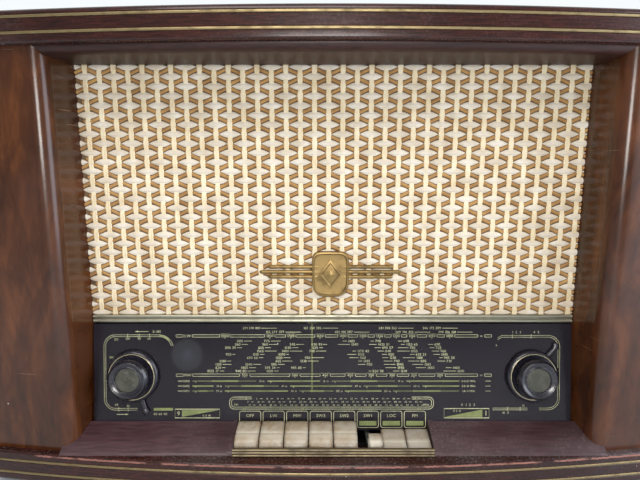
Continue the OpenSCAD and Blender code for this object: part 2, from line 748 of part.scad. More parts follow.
module valves() color("#b8c4c8") {
    for (p = valve_places) translate([p[0], p[1], chassis_z1 + socket_h]) {
        cylinder(r = valve_r, h = valve_h - 11);
        translate([0, 0, valve_h - 11]) cylinder(r1 = valve_r, r2 = valve_r - 4, h = 5);
        translate([0, 0, valve_h - 6]) cylinder(r1 = 2.4, r2 = 0.8, h = 6);
    }
}

module screening_cans() color("#c2c5c6") {
    for (p = [[-58, 30], [-90, 98], [58, 36]]) translate([p[0] - 13, p[1] - 13, chassis_z1]) cube([26, 26, 56]);
    translate([22, 40, chassis_z1]) cylinder(r = 16, h = 62);
}

module socket_strip() color("#7a5632") {
    strip_z = [strip_plate_z - 11, strip_plate_z + 11];
    mouth_y = cover_y - 2;
    difference() {
        union() {
            block([socket_xs[0] - 12, chassis_y1, strip_z[0]], [socket_xs[5] + 12, chassis_y1 + 2, strip_z[1]]);
            for (x = socket_xs) translate([x, mouth_y, strip_plate_z]) rotate([90, 0, 0])
                cylinder(r = 4, h = mouth_y - chassis_y1, $fn = 32);
        }
        for (x = socket_xs) translate([x, mouth_y + 1, strip_plate_z]) rotate([90, 0, 0])
            cylinder(r = socket_r, h = mouth_y - chassis_y1 + 2, $fn = 32);
    }
}

module woofer_frame() color("#3b3c3e") {
    flange_y = baffle_rear;
    translate([0, flange_y, woofer_z]) rotate([-90, 0, 0]) {
        difference() {
            cylinder(r = 104, h = 3);
            translate([0, 0, -1]) cylinder(r = 90, h = 5);
        }
        difference() {
            translate([0, 0, 3]) cylinder(r1 = 94, r2 = 46, h = 44);
            translate([0, 0, 2.9]) cylinder(r1 = 91, r2 = 43, h = 43);
            for (a = [30:60:330]) rotate([0, 0, a]) translate([40, -14, 12]) cube([60, 28, 27]);
        }
        translate([0, 0, 47]) cylinder(r = 40, h = 26);
        translate([0, 0, 36]) difference() {
            cylinder(r = 12, h = 12);
            translate([0, 0, -1]) cylinder(r = 9, h = 5);
        }
    }
}

module woofer_cone() color("#4c4540") {
    translate([0, baffle_rear, woofer_z]) rotate([-90, 0, 0]) rotate_extrude($fn = 96) polygon([
        [0, 33], [13, 31.4], [16, 29], [80, 3.4], [84, 1.2], [90, 0.6], [90, 2.4], [84.6, 3], [81, 5.6],
        [17, 31], [13, 34], [0, 35]]);
}

module rear_cover() color("#8a6f4b") {
    difference() {
        block([-screw_x - 4, cover_y, base_top + 2], [screw_x + 4, cover_y + cover_t, top_z - 2]);
        for (row = [0:2], col = [-8:8]) block([col * 30 - 9, cover_y - 1, 216 + row * 52],
            [col * 30 + 9, cover_y + 5, 219.5 + row * 52]);
        for (row = [0:2], col = [-8:8]) block([col * 30 - 9, cover_y - 1, 228 + row * 52],
            [col * 30 + 9, cover_y + 5, 231.5 + row * 52]);
        block([socket_xs[0] - 10, cover_y - 1, strip_plate_z - 10], [socket_xs[5] + 10, cover_y + 5, strip_plate_z + 10]);
        for (s = [-1, 1], z = screw_zs) translate([s * screw_x, cover_y + 5, z]) rotate([90, 0, 0])
            cylinder(r = 1.8, h = 8, $fn = 24);
        translate([gland_x, cover_y + 5, gland_z]) rotate([90, 0, 0]) cylinder(r = 6, h = 8);
    }
}

module rear_screws() color("#b5a06a") {
    for (s = [-1, 1], z = screw_zs) translate([s * screw_x, cover_y + cover_t, z]) rotate([-90, 0, 0]) difference() {
        union() {
            cylinder(r = 4, h = 1);
            translate([0, 0, 1]) cylinder(r1 = 4, r2 = 2.4, h = 1.2);
            translate([0, 0, -14]) cylinder(r = 1.5, h = 14, $fn = 24);
        }
        translate([-0.5, -5, 1.2]) cube([1, 10, 2]);
    }
}

// Rubber gland that the mains lead would leave through.
module mains_gland() color("#1d1c1c") {
    translate([gland_x, cover_y, gland_z]) rotate([-90, 0, 0]) difference() {
        union() {
            cylinder(r = 6, h = cover_t);
            translate([0, 0, -2.5]) cylinder(r = 9, h = 2.5);
            translate([0, 0, cover_t]) cylinder(r1 = 9, r2 = 7, h = 3);
        }
        translate([0, 0, -4]) cylinder(r = 3.2, h = 12);
    }
}

// ---- nodes ------------------------------------------------------------------------------------

cabinet_top();
cabinet_base();
side_left();
side_right();
pillar_left();
pillar_right();
top_cove();
sill_left();
sill_right();
brass_strips();
baffle_board();
grille_cloth();
badge();
trim_strip();
dial_glass();
dial_backplate();
am_pointer();
fm_pointer();
pointer_rails();
dial_lamps();
magic_eye();
tuning_knob();
tuning_shaft();
flywheel();
aerial_ring();
aerial_sleeve();
volume_knob();
volume_shaft();
tone_ring();
tone_sleeve();
volume_control();
key_frame();
key_rod();
key_threshold();
key_off();
key_lw();
key_mw();
key_sw3();
key_sw2();
key_sw1();
key_local();
key_fm();
chassis();
mains_transformer();
output_transformer();
valves();
valve_sockets();
screening_cans();
gang_frame();
gang_rotor();
drive_drum();
drive_cord();
ferrite_rod();
woofer_frame();
woofer_cone();
rear_cover();
rear_screws();
feet();
socket_strip();
mains_gland();
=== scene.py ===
"""Looks of a table-top valve radio: lacquered bow-fronted cabinet, woven grille, printed dial, knobs and piano keys.

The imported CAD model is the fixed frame. Every piece here is made in that frame, in metres, with X to the
listener's right, -Y out of the front and +Z up.
"""
import logging
import math
import random
from dataclasses import dataclass, field
from enum import Enum
from typing import Callable, Iterable, Sequence

import bmesh
import bpy
from mathutils import Matrix, Vector


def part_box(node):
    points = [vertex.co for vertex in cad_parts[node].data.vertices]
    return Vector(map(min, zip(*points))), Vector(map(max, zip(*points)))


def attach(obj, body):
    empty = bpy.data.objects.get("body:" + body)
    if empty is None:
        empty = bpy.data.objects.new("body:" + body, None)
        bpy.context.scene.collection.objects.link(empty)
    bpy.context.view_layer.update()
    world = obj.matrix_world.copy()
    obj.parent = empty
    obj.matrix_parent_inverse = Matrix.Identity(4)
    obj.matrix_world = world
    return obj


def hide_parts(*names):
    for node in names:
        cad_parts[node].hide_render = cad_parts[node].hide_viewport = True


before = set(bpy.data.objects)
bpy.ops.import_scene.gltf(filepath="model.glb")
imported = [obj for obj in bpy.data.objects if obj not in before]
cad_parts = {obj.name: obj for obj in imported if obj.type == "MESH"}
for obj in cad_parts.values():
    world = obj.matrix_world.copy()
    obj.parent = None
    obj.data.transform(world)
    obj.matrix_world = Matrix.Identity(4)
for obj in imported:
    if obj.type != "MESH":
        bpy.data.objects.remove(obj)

LOG = logging.getLogger("radio")
MM = 0.001
DIAL_ORIGIN = (0.0, -0.0996, 0.104)
DIAL_LEAN = 8.0

Point = tuple[float, float]
Colour = tuple[float, float, float]


# ---- Shader and node benches ----


class Signal:
    """A node's output that can be used in arithmetic; every operator adds one Math node."""

    def __init__(self, bench: "Bench", socket: bpy.types.NodeSocket) -> None:
        """Remembers where the value comes from."""
        self.bench = bench
        self.socket = socket

    def _math(self, operation: str, *operands: object) -> "Signal":
        """Adds a Math node."""
        return self.bench.node("ShaderNodeMath", {"operation": operation}, dict(enumerate(operands))).out()

    def __add__(self, other: object) -> "Signal":
        """Sum."""
        return self._math("ADD", self, other)

    __radd__ = __add__

    def __sub__(self, other: object) -> "Signal":
        """Difference."""
        return self._math("SUBTRACT", self, other)

    def __rsub__(self, other: object) -> "Signal":
        """Difference with the signal on the right."""
        return self._math("SUBTRACT", other, self)

    def __mul__(self, other: object) -> "Signal":
        """Product."""
        return self._math("MULTIPLY", self, other)

    __rmul__ = __mul__

    def __truediv__(self, other: object) -> "Signal":
        """Quotient."""
        return self._math("DIVIDE", self, other)

    def __abs__(self) -> "Signal":
        """Size without sign."""
        return self._math("ABSOLUTE", self)

    def sine(self) -> "Signal":
        """Sine of a value in radians."""
        return self._math("SINE", self)

    def floor(self) -> "Signal":
        """Whole number below."""
        return self._math("FLOOR", self)

    def modulo(self, other: object) -> "Signal":
        """Remainder after division."""
        return self._math("FLOORED_MODULO", self, other)

    def ramp(self, low: float, high: float) -> "Signal":
        """A smooth step."""
        settings = {"interpolation_type": "SMOOTHSTEP"}
        values = {"Value": self, "From Min": low, "From Max": high, "To Min": 0.0, "To Max": 1.0}
        return self.bench.node("ShaderNodeMapRange", settings, values).out("Result")


class Made:
    """A node that has been added, with its outputs by name."""

    def __init__(self, bench: "Bench", node: bpy.types.Node) -> None:
        """Keeps the node."""
        self.bench = bench
        self.node = node

    def out(self, name: str | int = 0) -> Signal:
        """One of the node's outputs, by name or place."""
        return Signal(self.bench, self.node.outputs[name])


class Bench:
    """Builds a node tree, one node at a time."""

    def __init__(self, tree: bpy.types.NodeTree) -> None:
        """Starts on an empty tree."""
        self.tree = tree
        tree.nodes.clear()

    def node(self, kind: str, settings: dict | None = None, inputs: dict | None = None) -> Made:
        """Adds a node.

        Args:
            kind: The node's type.
            settings: Its properties, set first. A list under "ramp" holds a colour ramp's stops.
            inputs: Values, signals or linked outputs for its sockets, by name or place.

        Returns:
            The new node.
        """
        made = self.tree.nodes.new(kind)
        for name, value in (settings or {}).items():
            if name == "ramp":
                self._stops(made.color_ramp, value)
            else:
                setattr(made, name, value)
        for name, value in (inputs or {}).items():
            socket = made.inputs[name]
            if isinstance(value, Signal):
                self.tree.links.new(value.socket, socket)
            else:
                socket.default_value = (*value, 1.0) if socket.type == "RGBA" and len(value) == 3 else value
        return Made(self, made)

    @staticmethod
    def _stops(ramp: bpy.types.ColorRamp, stops: Sequence[tuple[float, Colour]]) -> None:
        """Fills a colour ramp with its stops."""
        while len(ramp.elements) > 1:
            ramp.elements.remove(ramp.elements[-1])
        for index, (place, colour) in enumerate(stops):
            element = ramp.elements[0] if index == 0 else ramp.elements.new(place)
            element.position = place
            element.color = (*colour, 1.0)


class Paint(Bench):
    """A material's bench, with the few patterns that the finishes share."""

    def __init__(self, name: str) -> None:
        """Creates the material."""
        self.material = bpy.data.materials.new(name)
        self.material.use_nodes = True
        super().__init__(self.material.node_tree)
        self.place = self.node("ShaderNodeTexCoord").out("Object")

    def uv(self) -> Signal:
        """The piece's own UV map."""
        return self.node("ShaderNodeUVMap", {"uv_map": "UVMap"}).out("UV")

    def scaled(self, vector: Signal, scale: Sequence[float], shift: Sequence[float] = (0, 0, 0)) -> Signal:
        """Coordinates stretched by scale and moved by shift."""
        values = {"Vector": vector, "Scale": scale, "Location": shift}
        return self.node("ShaderNodeMapping", {"vector_type": "POINT"}, values).out("Vector")

    def split(self, vector: Signal) -> tuple[Signal, Signal, Signal]:
        """The three parts of a vector."""
        made = self.node("ShaderNodeSeparateXYZ", None, {"Vector": vector})
        return made.out("X"), made.out("Y"), made.out("Z")

    def noise(self, vector: Signal, scale: float, detail: float = 3.0, warp: float = 0.0) -> Signal:
        """Soft noise from 0 to 1."""
        values = {"Vector": vector, "Scale": scale, "Detail": detail, "Roughness": 0.55, "Distortion": warp}
        return self.node("ShaderNodeTexNoise", None, values).out(0)

    def cells(self, vector: Signal, scale: float) -> Signal:
        """Distance from the nearest of many scattered points."""
        return self.node("ShaderNodeTexVoronoi", None, {"Vector": vector, "Scale": scale}).out("Distance")

    def mix(self, factor: object, first: object, second: object) -> Signal:
        """Blend of two colours."""
        values = {0: factor, 6: first, 7: second}
        return self.node("ShaderNodeMix", {"data_type": "RGBA"}, values).out(2)

    def bump(self, height: Signal, strength: float, depth: float) -> Signal:
        """Normal of a surface that a height map roughens."""
        values = {"Height": height, "Strength": strength, "Distance": depth}
        return self.node("ShaderNodeBump", None, values).out("Normal")

    def finish(self, **channels: object) -> bpy.types.Material:
        """Ends the material with a Principled shader."""
        inputs = {name.replace("_", " "): value for name, value in channels.items()}
        shader = self.node("ShaderNodeBsdfPrincipled", None, inputs).out("BSDF")
        self.node("ShaderNodeOutputMaterial", None, {"Surface": shader})
        return self.material


# ---- Finishes ----


@dataclass(frozen=True)
class Lacquer:
    """Dark wood under lacquer: streaked grain along X, dust, specks, and a lip line under a dusty ledge, partly worn
    bare wood and partly a painted highlight.

    The field for the lip line, worn bare and partly a painted highlight on the rounded lip, holds its height and half
    its width, or nothing.
    """

    name: str
    dark: Colour
    light: Colour
    dust: Colour = (0.20, 0.17, 0.17)
    dustiness: float = 0.35
    shine: float = 0.26
    coat: float = 0.35
    worn_edge: tuple[float, float] | None = None
    ledge: float = 0.0427
    whole_left: float = -0.272

    def make(self) -> bpy.types.Material:
        """Builds the material."""
        paint = Paint(self.name)
        across, depth, height = paint.split(paint.place)
        grain = paint.noise(paint.scaled(paint.place, (18, 160, 260)), 3.0, 5.0, 0.6)
        cloud = paint.noise(paint.place, 7.0, 3.0)
        colour = paint.mix(grain.ramp(0.3, 0.72), self.dark, self.light)
        colour = paint.mix(cloud.ramp(0.35, 0.75) * 0.45, colour, tuple(part * 0.45 for part in self.dark))
        haze = paint.noise(paint.place, 11.0, 4.0).ramp(0.45, 0.8)
        fine = paint.noise(paint.place, 420.0, 2.0).ramp(0.5, 0.78)
        film = (haze * fine + haze * 0.3) * self.dustiness
        colour = paint.mix(film, colour, self.dust)
        specks = paint.cells(paint.place, 95.0).ramp(0.055, 0.03)
        rare = paint.noise(paint.place, 60.0, 1.0).ramp(0.6, 0.66)
        colour = paint.mix(specks * rare, colour, (0.62, 0.58, 0.55))
        rough = film * 0.5 + self.shine + fine * 0.05
        if self.worn_edge:
            level, reach = self.worn_edge
            ragged = (paint.noise(paint.scaled(paint.place, (1, 1, 0.4)), 300.0, 4.0) - 0.5) * 0.0026
            line = abs(height + ragged * 0.6 - level).ramp(reach, reach * 0.5)
            line = line * height.ramp(self.ledge, self.ledge - 0.0004)
            along = paint.noise(paint.scaled(paint.place, (1, 0, 0)), 34.0, 3.0).ramp(0.40, 0.50)
            # The lip line is partly worn bare wood and partly a painted highlight on the rounded lip edge.
            bare_and_lit = line * along * across.ramp(self.whole_left, self.whole_left + 0.01) * depth.ramp(-0.10, -0.12)
            colour = paint.mix(bare_and_lit * 0.75, colour, (0.34, 0.150, 0.115))
            above = height.ramp(self.ledge - 0.0001, self.ledge + 0.0002)
            below = height.ramp(self.ledge + 0.0013, self.ledge + 0.0008)
            ledge = above * below * (haze * 0.5 + fine * 0.5)
            colour = paint.mix(ledge * 0.7, colour, self.dust)
            rough = rough + bare_and_lit * 0.4
        ripple = paint.noise(paint.scaled(paint.place, (12, 60, 60)), 5.0, 3.0) + fine * 0.15
        normal = paint.bump(ripple, 0.12, 0.0006)
        return paint.finish(Base_Color=colour, Roughness=rough, Normal=normal, Coat_Weight=self.coat,
                            Coat_Roughness=0.12, Specular_IOR_Level=0.35)


@dataclass(frozen=True)
class Veneer:
    """Figured walnut: upright flame figure with burl clouds, pores, scratches and one chip, placed in XZ."""

    name: str = "walnut_veneer"
    deep: Colour = (0.019, 0.0056, 0.0018)
    middle: Colour = (0.056, 0.0165, 0.0045)
    bright: Colour = (0.112, 0.0350, 0.0092)
    use_uv: bool = True
    chip: Point = (-0.3005, 0.370)

    def make(self) -> bpy.types.Material:
        """Builds the material."""
        paint = Paint(self.name)
        base = paint.uv() if self.use_uv else paint.place
        stretch = (1.0, 0.32, 1.0) if self.use_uv else (1.0, 1.0, 0.32)
        flame = paint.noise(paint.scaled(base, stretch), 16.0, 5.0, 2.2)
        burl = paint.noise(paint.scaled(base, stretch), 38.0, 5.0, 3.2)
        pore_scale = (1.0, 0.05, 1.0) if self.use_uv else (1.0, 1.0, 0.05)
        pores = paint.noise(paint.scaled(base, pore_scale), 900.0, 2.0)
        shade = flame * 0.65 + burl * 0.35
        stops = [(0.33, self.deep), (0.5, self.middle), (0.66, self.bright)]
        colour = paint.node("ShaderNodeValToRGB", {"ramp": stops}, {"Fac": shade}).out("Color")
        colour = paint.mix(pores.ramp(0.55, 0.75) * 0.35, colour, self.deep)
        specks = paint.cells(paint.place, 70.0).ramp(0.05, 0.025) * paint.noise(paint.place, 40.0).ramp(0.6, 0.66)
        colour = paint.mix(specks, colour, (0.6, 0.58, 0.55))
        squash = 1.6
        spot = paint.scaled(paint.place, (1, 0, squash), (-self.chip[0], 0, -self.chip[1] * squash))
        away = paint.node("ShaderNodeVectorMath", {"operation": "LENGTH"}, {0: spot}).out("Value")
        chip = (away + (paint.noise(paint.place, 260.0, 3.0) - 0.5) * 0.006).ramp(0.0046, 0.0040)
        colour = paint.mix(chip, colour, (0.78, 0.74, 0.70))
        mist = paint.noise(paint.place, 9.0, 3.0).ramp(0.4, 0.8) * 0.04
        colour = paint.mix(mist, colour, (0.30, 0.24, 0.26))
        scratch_place = paint.scaled(paint.place, (8, 8, 520))
        scratch = paint.noise(scratch_place, 1.6, 1.0).ramp(0.74, 0.78) * paint.noise(paint.place, 16.0).ramp(0.52, 0.6)
        colour = paint.mix(scratch * 0.45, colour, (0.36, 0.22, 0.15))
        rough = mist + 0.2 + pores * 0.06 + scratch * 0.2
        skin = paint.noise(paint.place, 260.0, 3.0) * 0.5 + paint.noise(paint.place, 26.0, 2.0)
        normal = paint.bump(skin, 0.16, 0.0004)
        return paint.finish(Base_Color=colour, Roughness=rough, Normal=normal, Coat_Weight=0.18, Coat_Roughness=0.14,
                            Specular_IOR_Level=0.35)


@dataclass(frozen=True)
class Metal:
    """Metal with a drawn or cast surface and tarnish in its hollows."""

    name: str
    bright: Colour
    tarnish: Colour
    age: float = 0.5
    roughness: float = 0.28
    lines: Sequence[float] = (4, 400, 400)

    def make(self) -> bpy.types.Material:
        """Builds the material."""
        paint = Paint(self.name)
        drawn = paint.noise(paint.scaled(paint.place, self.lines), 6.0, 3.0)
        spots = paint.noise(paint.place, 90.0, 4.0)
        patina = spots.ramp(0.42, 0.72) * self.age
        colour = paint.mix(patina, self.bright, self.tarnish)
        colour = paint.mix(drawn.ramp(0.45, 0.8) * 0.25, colour, self.tarnish)
        rough = patina * 0.35 + self.roughness + drawn * 0.08
        normal = paint.bump(drawn, 0.15, 0.0002)
        return paint.finish(Base_Color=colour, Metallic=1.0 - patina * 0.3, Roughness=rough, Normal=normal)


@dataclass(frozen=True)
class Yarn:
    """Spun yarn of the grille, with its twist, painted shade in the twist's grooves, and its colour from bobbin to
    bobbin.
    """

    name: str
    pale: Colour
    deep: Colour
    rib: float = 0.00115
    slant: float = 0.0
    soil: Colour = (0.30, 0.20, 0.09)

    def make(self) -> bpy.types.Material:
        """Builds the material."""
        paint = Paint(self.name)
        across, _, height = paint.split(paint.place)
        twist = ((height + across * self.slant) * (2 * math.pi / self.rib)).sine() * 0.5 + 0.5
        fuzz = paint.noise(paint.place, 1500.0, 3.0)
        bobbin = paint.noise(paint.place, 55.0, 3.0)
        tint = bobbin * 0.7 + fuzz * 0.3
        colour = paint.mix(tint.ramp(0.3, 0.75), self.deep, self.pale)
        # Painted shade: the grooves of the twist are darkened towards the deep colour.
        colour = paint.mix((1 - twist) * 0.42, colour, self.deep)
        stain = paint.noise(paint.place, 8.0, 4.0).ramp(0.5, 0.85) * 0.22
        low = height.ramp(0.20, 0.155) * 0.25
        colour = paint.mix((stain + low), colour, self.soil)
        normal = paint.bump(twist + fuzz * 0.6, 0.55, 0.00035)
        return paint.finish(Base_Color=colour, Roughness=0.82, Normal=normal, Sheen_Weight=0.25)


@dataclass(frozen=True)
class Ivory:
    """Yellowed moulded keys, grimy at the back and the nose, with a painted highlight band across the crown; V of the
    UV map runs from back to nose.
    """

    name: str = "key_ivory"
    clean: Colour = (0.44, 0.375, 0.295)
    yellow: Colour = (0.33, 0.245, 0.155)
    grime: Colour = (0.095, 0.052, 0.026)

    def make(self) -> bpy.types.Material:
        """Builds the material."""
        paint = Paint(self.name)
        across, along, _ = paint.split(paint.uv())
        cloud = paint.noise(paint.place, 75.0, 4.0, 0.8)
        small = paint.noise(paint.place, 320.0, 4.0, 1.0)
        colour = paint.mix(cloud.ramp(0.35, 0.7), self.clean, self.yellow)
        colour = paint.mix(paint.split(paint.place)[0].ramp(-0.02, 0.09) * 0.5, colour, (0.30, 0.275, 0.245))
        # Painted highlight: a light band across the key's crown, where the curved top would catch the light.
        highlight_band = along.ramp(0.34, 0.50) * along.ramp(0.72, 0.56)
        colour = paint.mix(highlight_band * 0.55, colour, (0.62, 0.55, 0.45))
        nose = along.ramp(0.62, 1.0)
        back = along.ramp(0.36, 0.0)
        rim = abs(across - 0.5).ramp(0.36, 0.5)
        dirt = (nose * 0.8 + back * 0.6 + rim * 0.75) * small.ramp(0.22, 0.66)
        spots = small.ramp(0.66, 0.78) * cloud.ramp(0.5, 0.7)
        colour = paint.mix((dirt * 0.72 + spots * 0.5), colour, self.grime)
        rough = dirt * 0.35 + 0.24 + small * 0.08
        normal = paint.bump(small, 0.10, 0.0003)
        return paint.finish(Base_Color=colour, Roughness=rough, Normal=normal, Subsurface_Weight=0.08)


@dataclass(frozen=True)
class Moulded:
    """Moulded or painted stuff: one colour, mottled, with dust that lies on it."""

    name: str
    colour: Colour
    second: Colour
    roughness: float = 0.3
    dust: float = 0.15
    grain: float = 260.0
    bumpiness: float = 0.1
    metallic: float = 0.0
    coat: float = 0.0

    def make(self) -> bpy.types.Material:
        """Builds the material."""
        paint = Paint(self.name)
        mottle = paint.noise(paint.place, self.grain * 0.25, 4.0)
        fine = paint.noise(paint.place, self.grain, 3.0)
        colour = paint.mix(mottle.ramp(0.35, 0.7), self.colour, self.second)
        lint = fine.ramp(0.55, 0.8) * paint.noise(paint.place, 22.0).ramp(0.4, 0.7) * self.dust
        colour = paint.mix(lint, colour, (0.33, 0.31, 0.33))
        rough = lint * 0.6 + self.roughness + fine * 0.06
        normal = paint.bump(fine, self.bumpiness, 0.0003)
        return paint.finish(Base_Color=colour, Roughness=rough, Normal=normal, Metallic=self.metallic,
                            Coat_Weight=self.coat)


@dataclass(frozen=True)
class DialGlass:
    """Back-painted glass that lets the pointers shine through, with a ghost disc over the tuning eye."""

    eye: tuple[float, float, float]
    eye_radius: float
    name: str = "dial_black"

    def make(self) -> bpy.types.Material:
        """Builds the material."""
        paint = Paint(self.name)
        centre = paint.scaled(paint.place, (1, 1, 1), tuple(-part for part in self.eye))
        distance = paint.node("ShaderNodeVectorMath", {"operation": "LENGTH"}, {0: centre}).out("Value")
        disc = distance.ramp(self.eye_radius * 1.12, self.eye_radius * 0.8)
        core = distance.ramp(self.eye_radius * 0.5, self.eye_radius * 0.1)
        cloud = paint.noise(paint.place, 9.0, 4.0)
        colour = paint.mix(cloud.ramp(0.35, 0.75), (0.0110, 0.0085, 0.0125), (0.020, 0.0165, 0.022))
        colour = paint.mix(disc * 0.5, colour, (0.048, 0.050, 0.054))
        colour = paint.mix(core * 0.35, colour, (0.062, 0.068, 0.092))
        fine = paint.noise(paint.place, 500.0, 3.0).ramp(0.52, 0.8)
        film = fine * cloud.ramp(0.4, 0.7) * 0.05
        colour = paint.mix(film, colour, (0.30, 0.28, 0.30))
        specks = paint.cells(paint.place, 85.0).ramp(0.05, 0.025) * paint.noise(paint.place, 55.0).ramp(0.58, 0.64)
        colour = paint.mix(specks, colour, (0.7, 0.7, 0.7))
        rough = cloud * 0.08 + 0.16 + specks * 0.3
        return paint.finish(Base_Color=colour, Roughness=rough, Alpha=0.88, Specular_IOR_Level=0.30)


@dataclass(frozen=True)
class Ink:
    """Printing ink of the dial and paint of the pointer, unevenly worn, with a painted glow as if lit from behind:
    faint on the print, strong on the pointer.
    """

    name: str
    strong: Colour
    weak: Colour
    glow: float = 0.05

    def make(self) -> bpy.types.Material:
        """Builds the material."""
        paint = Paint(self.name)
        worn = paint.noise(paint.place, 70.0, 4.0) * 0.6 + paint.noise(paint.place, 900.0, 2.0) * 0.4
        colour = paint.mix(worn.ramp(0.35, 0.68), self.weak, self.strong)
        return paint.finish(Base_Color=colour, Emission_Color=colour, Emission_Strength=self.glow, Roughness=0.5)


class Finish(Enum):
    """Every finish on the radio, with the recipe that makes it."""

    MAHOGANY = Lacquer("mahogany_lacquer", (0.016, 0.0040, 0.0030), (0.050, 0.0122, 0.0086), dustiness=0.18,
                       coat=0.12, worn_edge=(0.0409, 0.0010))
    COVE = Lacquer("cove_lacquer", (0.020, 0.0065, 0.0050), (0.048, 0.0160, 0.0120), dustiness=0.12, shine=0.44,
                   coat=0.03)
    SILL = Lacquer("sill_lacquer", (0.044, 0.0210, 0.0245), (0.088, 0.0430, 0.0480), dustiness=0.60, shine=0.38,
                   coat=0.12)
    PILLAR = Veneer()
    SIDE = Veneer("side_veneer", use_uv=False)
    BRASS = Metal("trim_brass", (0.34, 0.26, 0.135), (0.10, 0.07, 0.034), 0.6, 0.34)
    DULL_BRASS = Metal("threshold_brass", (0.24, 0.195, 0.125), (0.075, 0.058, 0.036), 0.6, 0.42)
    SILVERED = Metal("trim_silvered", (0.37, 0.355, 0.275), (0.17, 0.145, 0.09), 0.35, 0.30)
    BADGE = Metal("badge_bronze", (0.30, 0.205, 0.085), (0.09, 0.058, 0.022), 0.6, 0.38, (300, 300, 300))
    PAD = Yarn("grille_pad", (0.86, 0.82, 0.74), (0.56, 0.47, 0.35))
    STRAND = Yarn("grille_strand", (0.94, 0.86, 0.66), (0.70, 0.56, 0.34), rib=0.0009)
    CHEVRON = Yarn("grille_chevron", (0.62, 0.36, 0.115), (0.27, 0.13, 0.035), rib=0.0016, slant=1.4)
    GROUND = Yarn("grille_ground", (0.23, 0.135, 0.060), (0.085, 0.046, 0.020), rib=0.0008)
    IVORY = Ivory()
    BAKELITE = Moulded("bakelite_black", (0.0085, 0.0078, 0.0125), (0.0150, 0.0135, 0.0215), 0.24, 0.10, coat=0.3)
    FACE = Moulded("knob_face", (0.032, 0.032, 0.022), (0.060, 0.059, 0.042), 0.42, 0.35, 420.0, 0.35)
    GOLD_LINE = Metal("knob_gold_line", (0.62, 0.56, 0.36), (0.30, 0.25, 0.14), 0.4, 0.35)
    INK = Ink("dial_ink", (0.56, 0.56, 0.33), (0.27, 0.27, 0.155))
    GREEN = Ink("dial_green", (0.23, 0.265, 0.095), (0.13, 0.155, 0.055), 0.04)
    # Painted glow: the pointer's paint shines at strength 38, though no lamp lights it.
    POINTER = Ink("pointer_paint", (0.55, 0.62, 0.20), (0.45, 0.52, 0.15), 38.0)
    BACKING = Moulded("dial_backing", (0.008, 0.0065, 0.009), (0.011, 0.009, 0.012), 0.8, 0.0, 60.0, 0.0)
    STEEL = Metal("zinc_steel", (0.50, 0.50, 0.47), (0.26, 0.24, 0.20), 0.6, 0.38, (60, 60, 60))
    ALUMINIUM = Metal("can_aluminium", (0.74, 0.74, 0.73), (0.42, 0.42, 0.40), 0.4, 0.3, (40, 40, 500))
    CORE = Metal("transformer_core", (0.18, 0.16, 0.14), (0.07, 0.055, 0.045), 0.7, 0.5, (20, 900, 20))
    BULB = Moulded("bulb_glass", (0.42, 0.47, 0.48), (0.30, 0.33, 0.33), 0.06, 0.1, coat=0.6)
    HARDBOARD = Moulded("raw_board", (0.225, 0.135, 0.065), (0.145, 0.082, 0.038), 0.72, 0.35, 700.0, 0.35)
    PHENOLIC = Moulded("phenolic_brown", (0.165, 0.082, 0.032), (0.105, 0.05, 0.02), 0.4, 0.2)
    CORD = Moulded("cord_fibre", (0.06, 0.04, 0.025), (0.11, 0.08, 0.05), 0.8, 0.1, 900.0, 0.4)
    FERRITE = Moulded("ferrite_dark", (0.03, 0.028, 0.028), (0.055, 0.05, 0.05), 0.5, 0.2)
    SPEAKER = Moulded("speaker_steel", (0.022, 0.022, 0.024), (0.04, 0.04, 0.042), 0.35, 0.3, coat=0.3)
    PAPER = Moulded("cone_paper", (0.045, 0.037, 0.03), (0.075, 0.062, 0.05), 0.9, 0.3, 600.0, 0.4)
    RUBBER = Moulded("black_rubber", (0.013, 0.012, 0.012), (0.026, 0.024, 0.024), 0.65, 0.4)


class Palette:
    """Makes each material once and hands it out by finish."""

    def __init__(self) -> None:
        """Starts with nothing made."""
        self._made: dict[object, bpy.types.Material] = {}

    def __getitem__(self, finish: object) -> bpy.types.Material:
        """The material of a finish, or of a recipe that stands outside the enumeration."""
        recipe = finish.value if isinstance(finish, Finish) else finish
        if recipe not in self._made:
            self._made[recipe] = recipe.make()
        return self._made[recipe]


# ---- Mesh tools ----


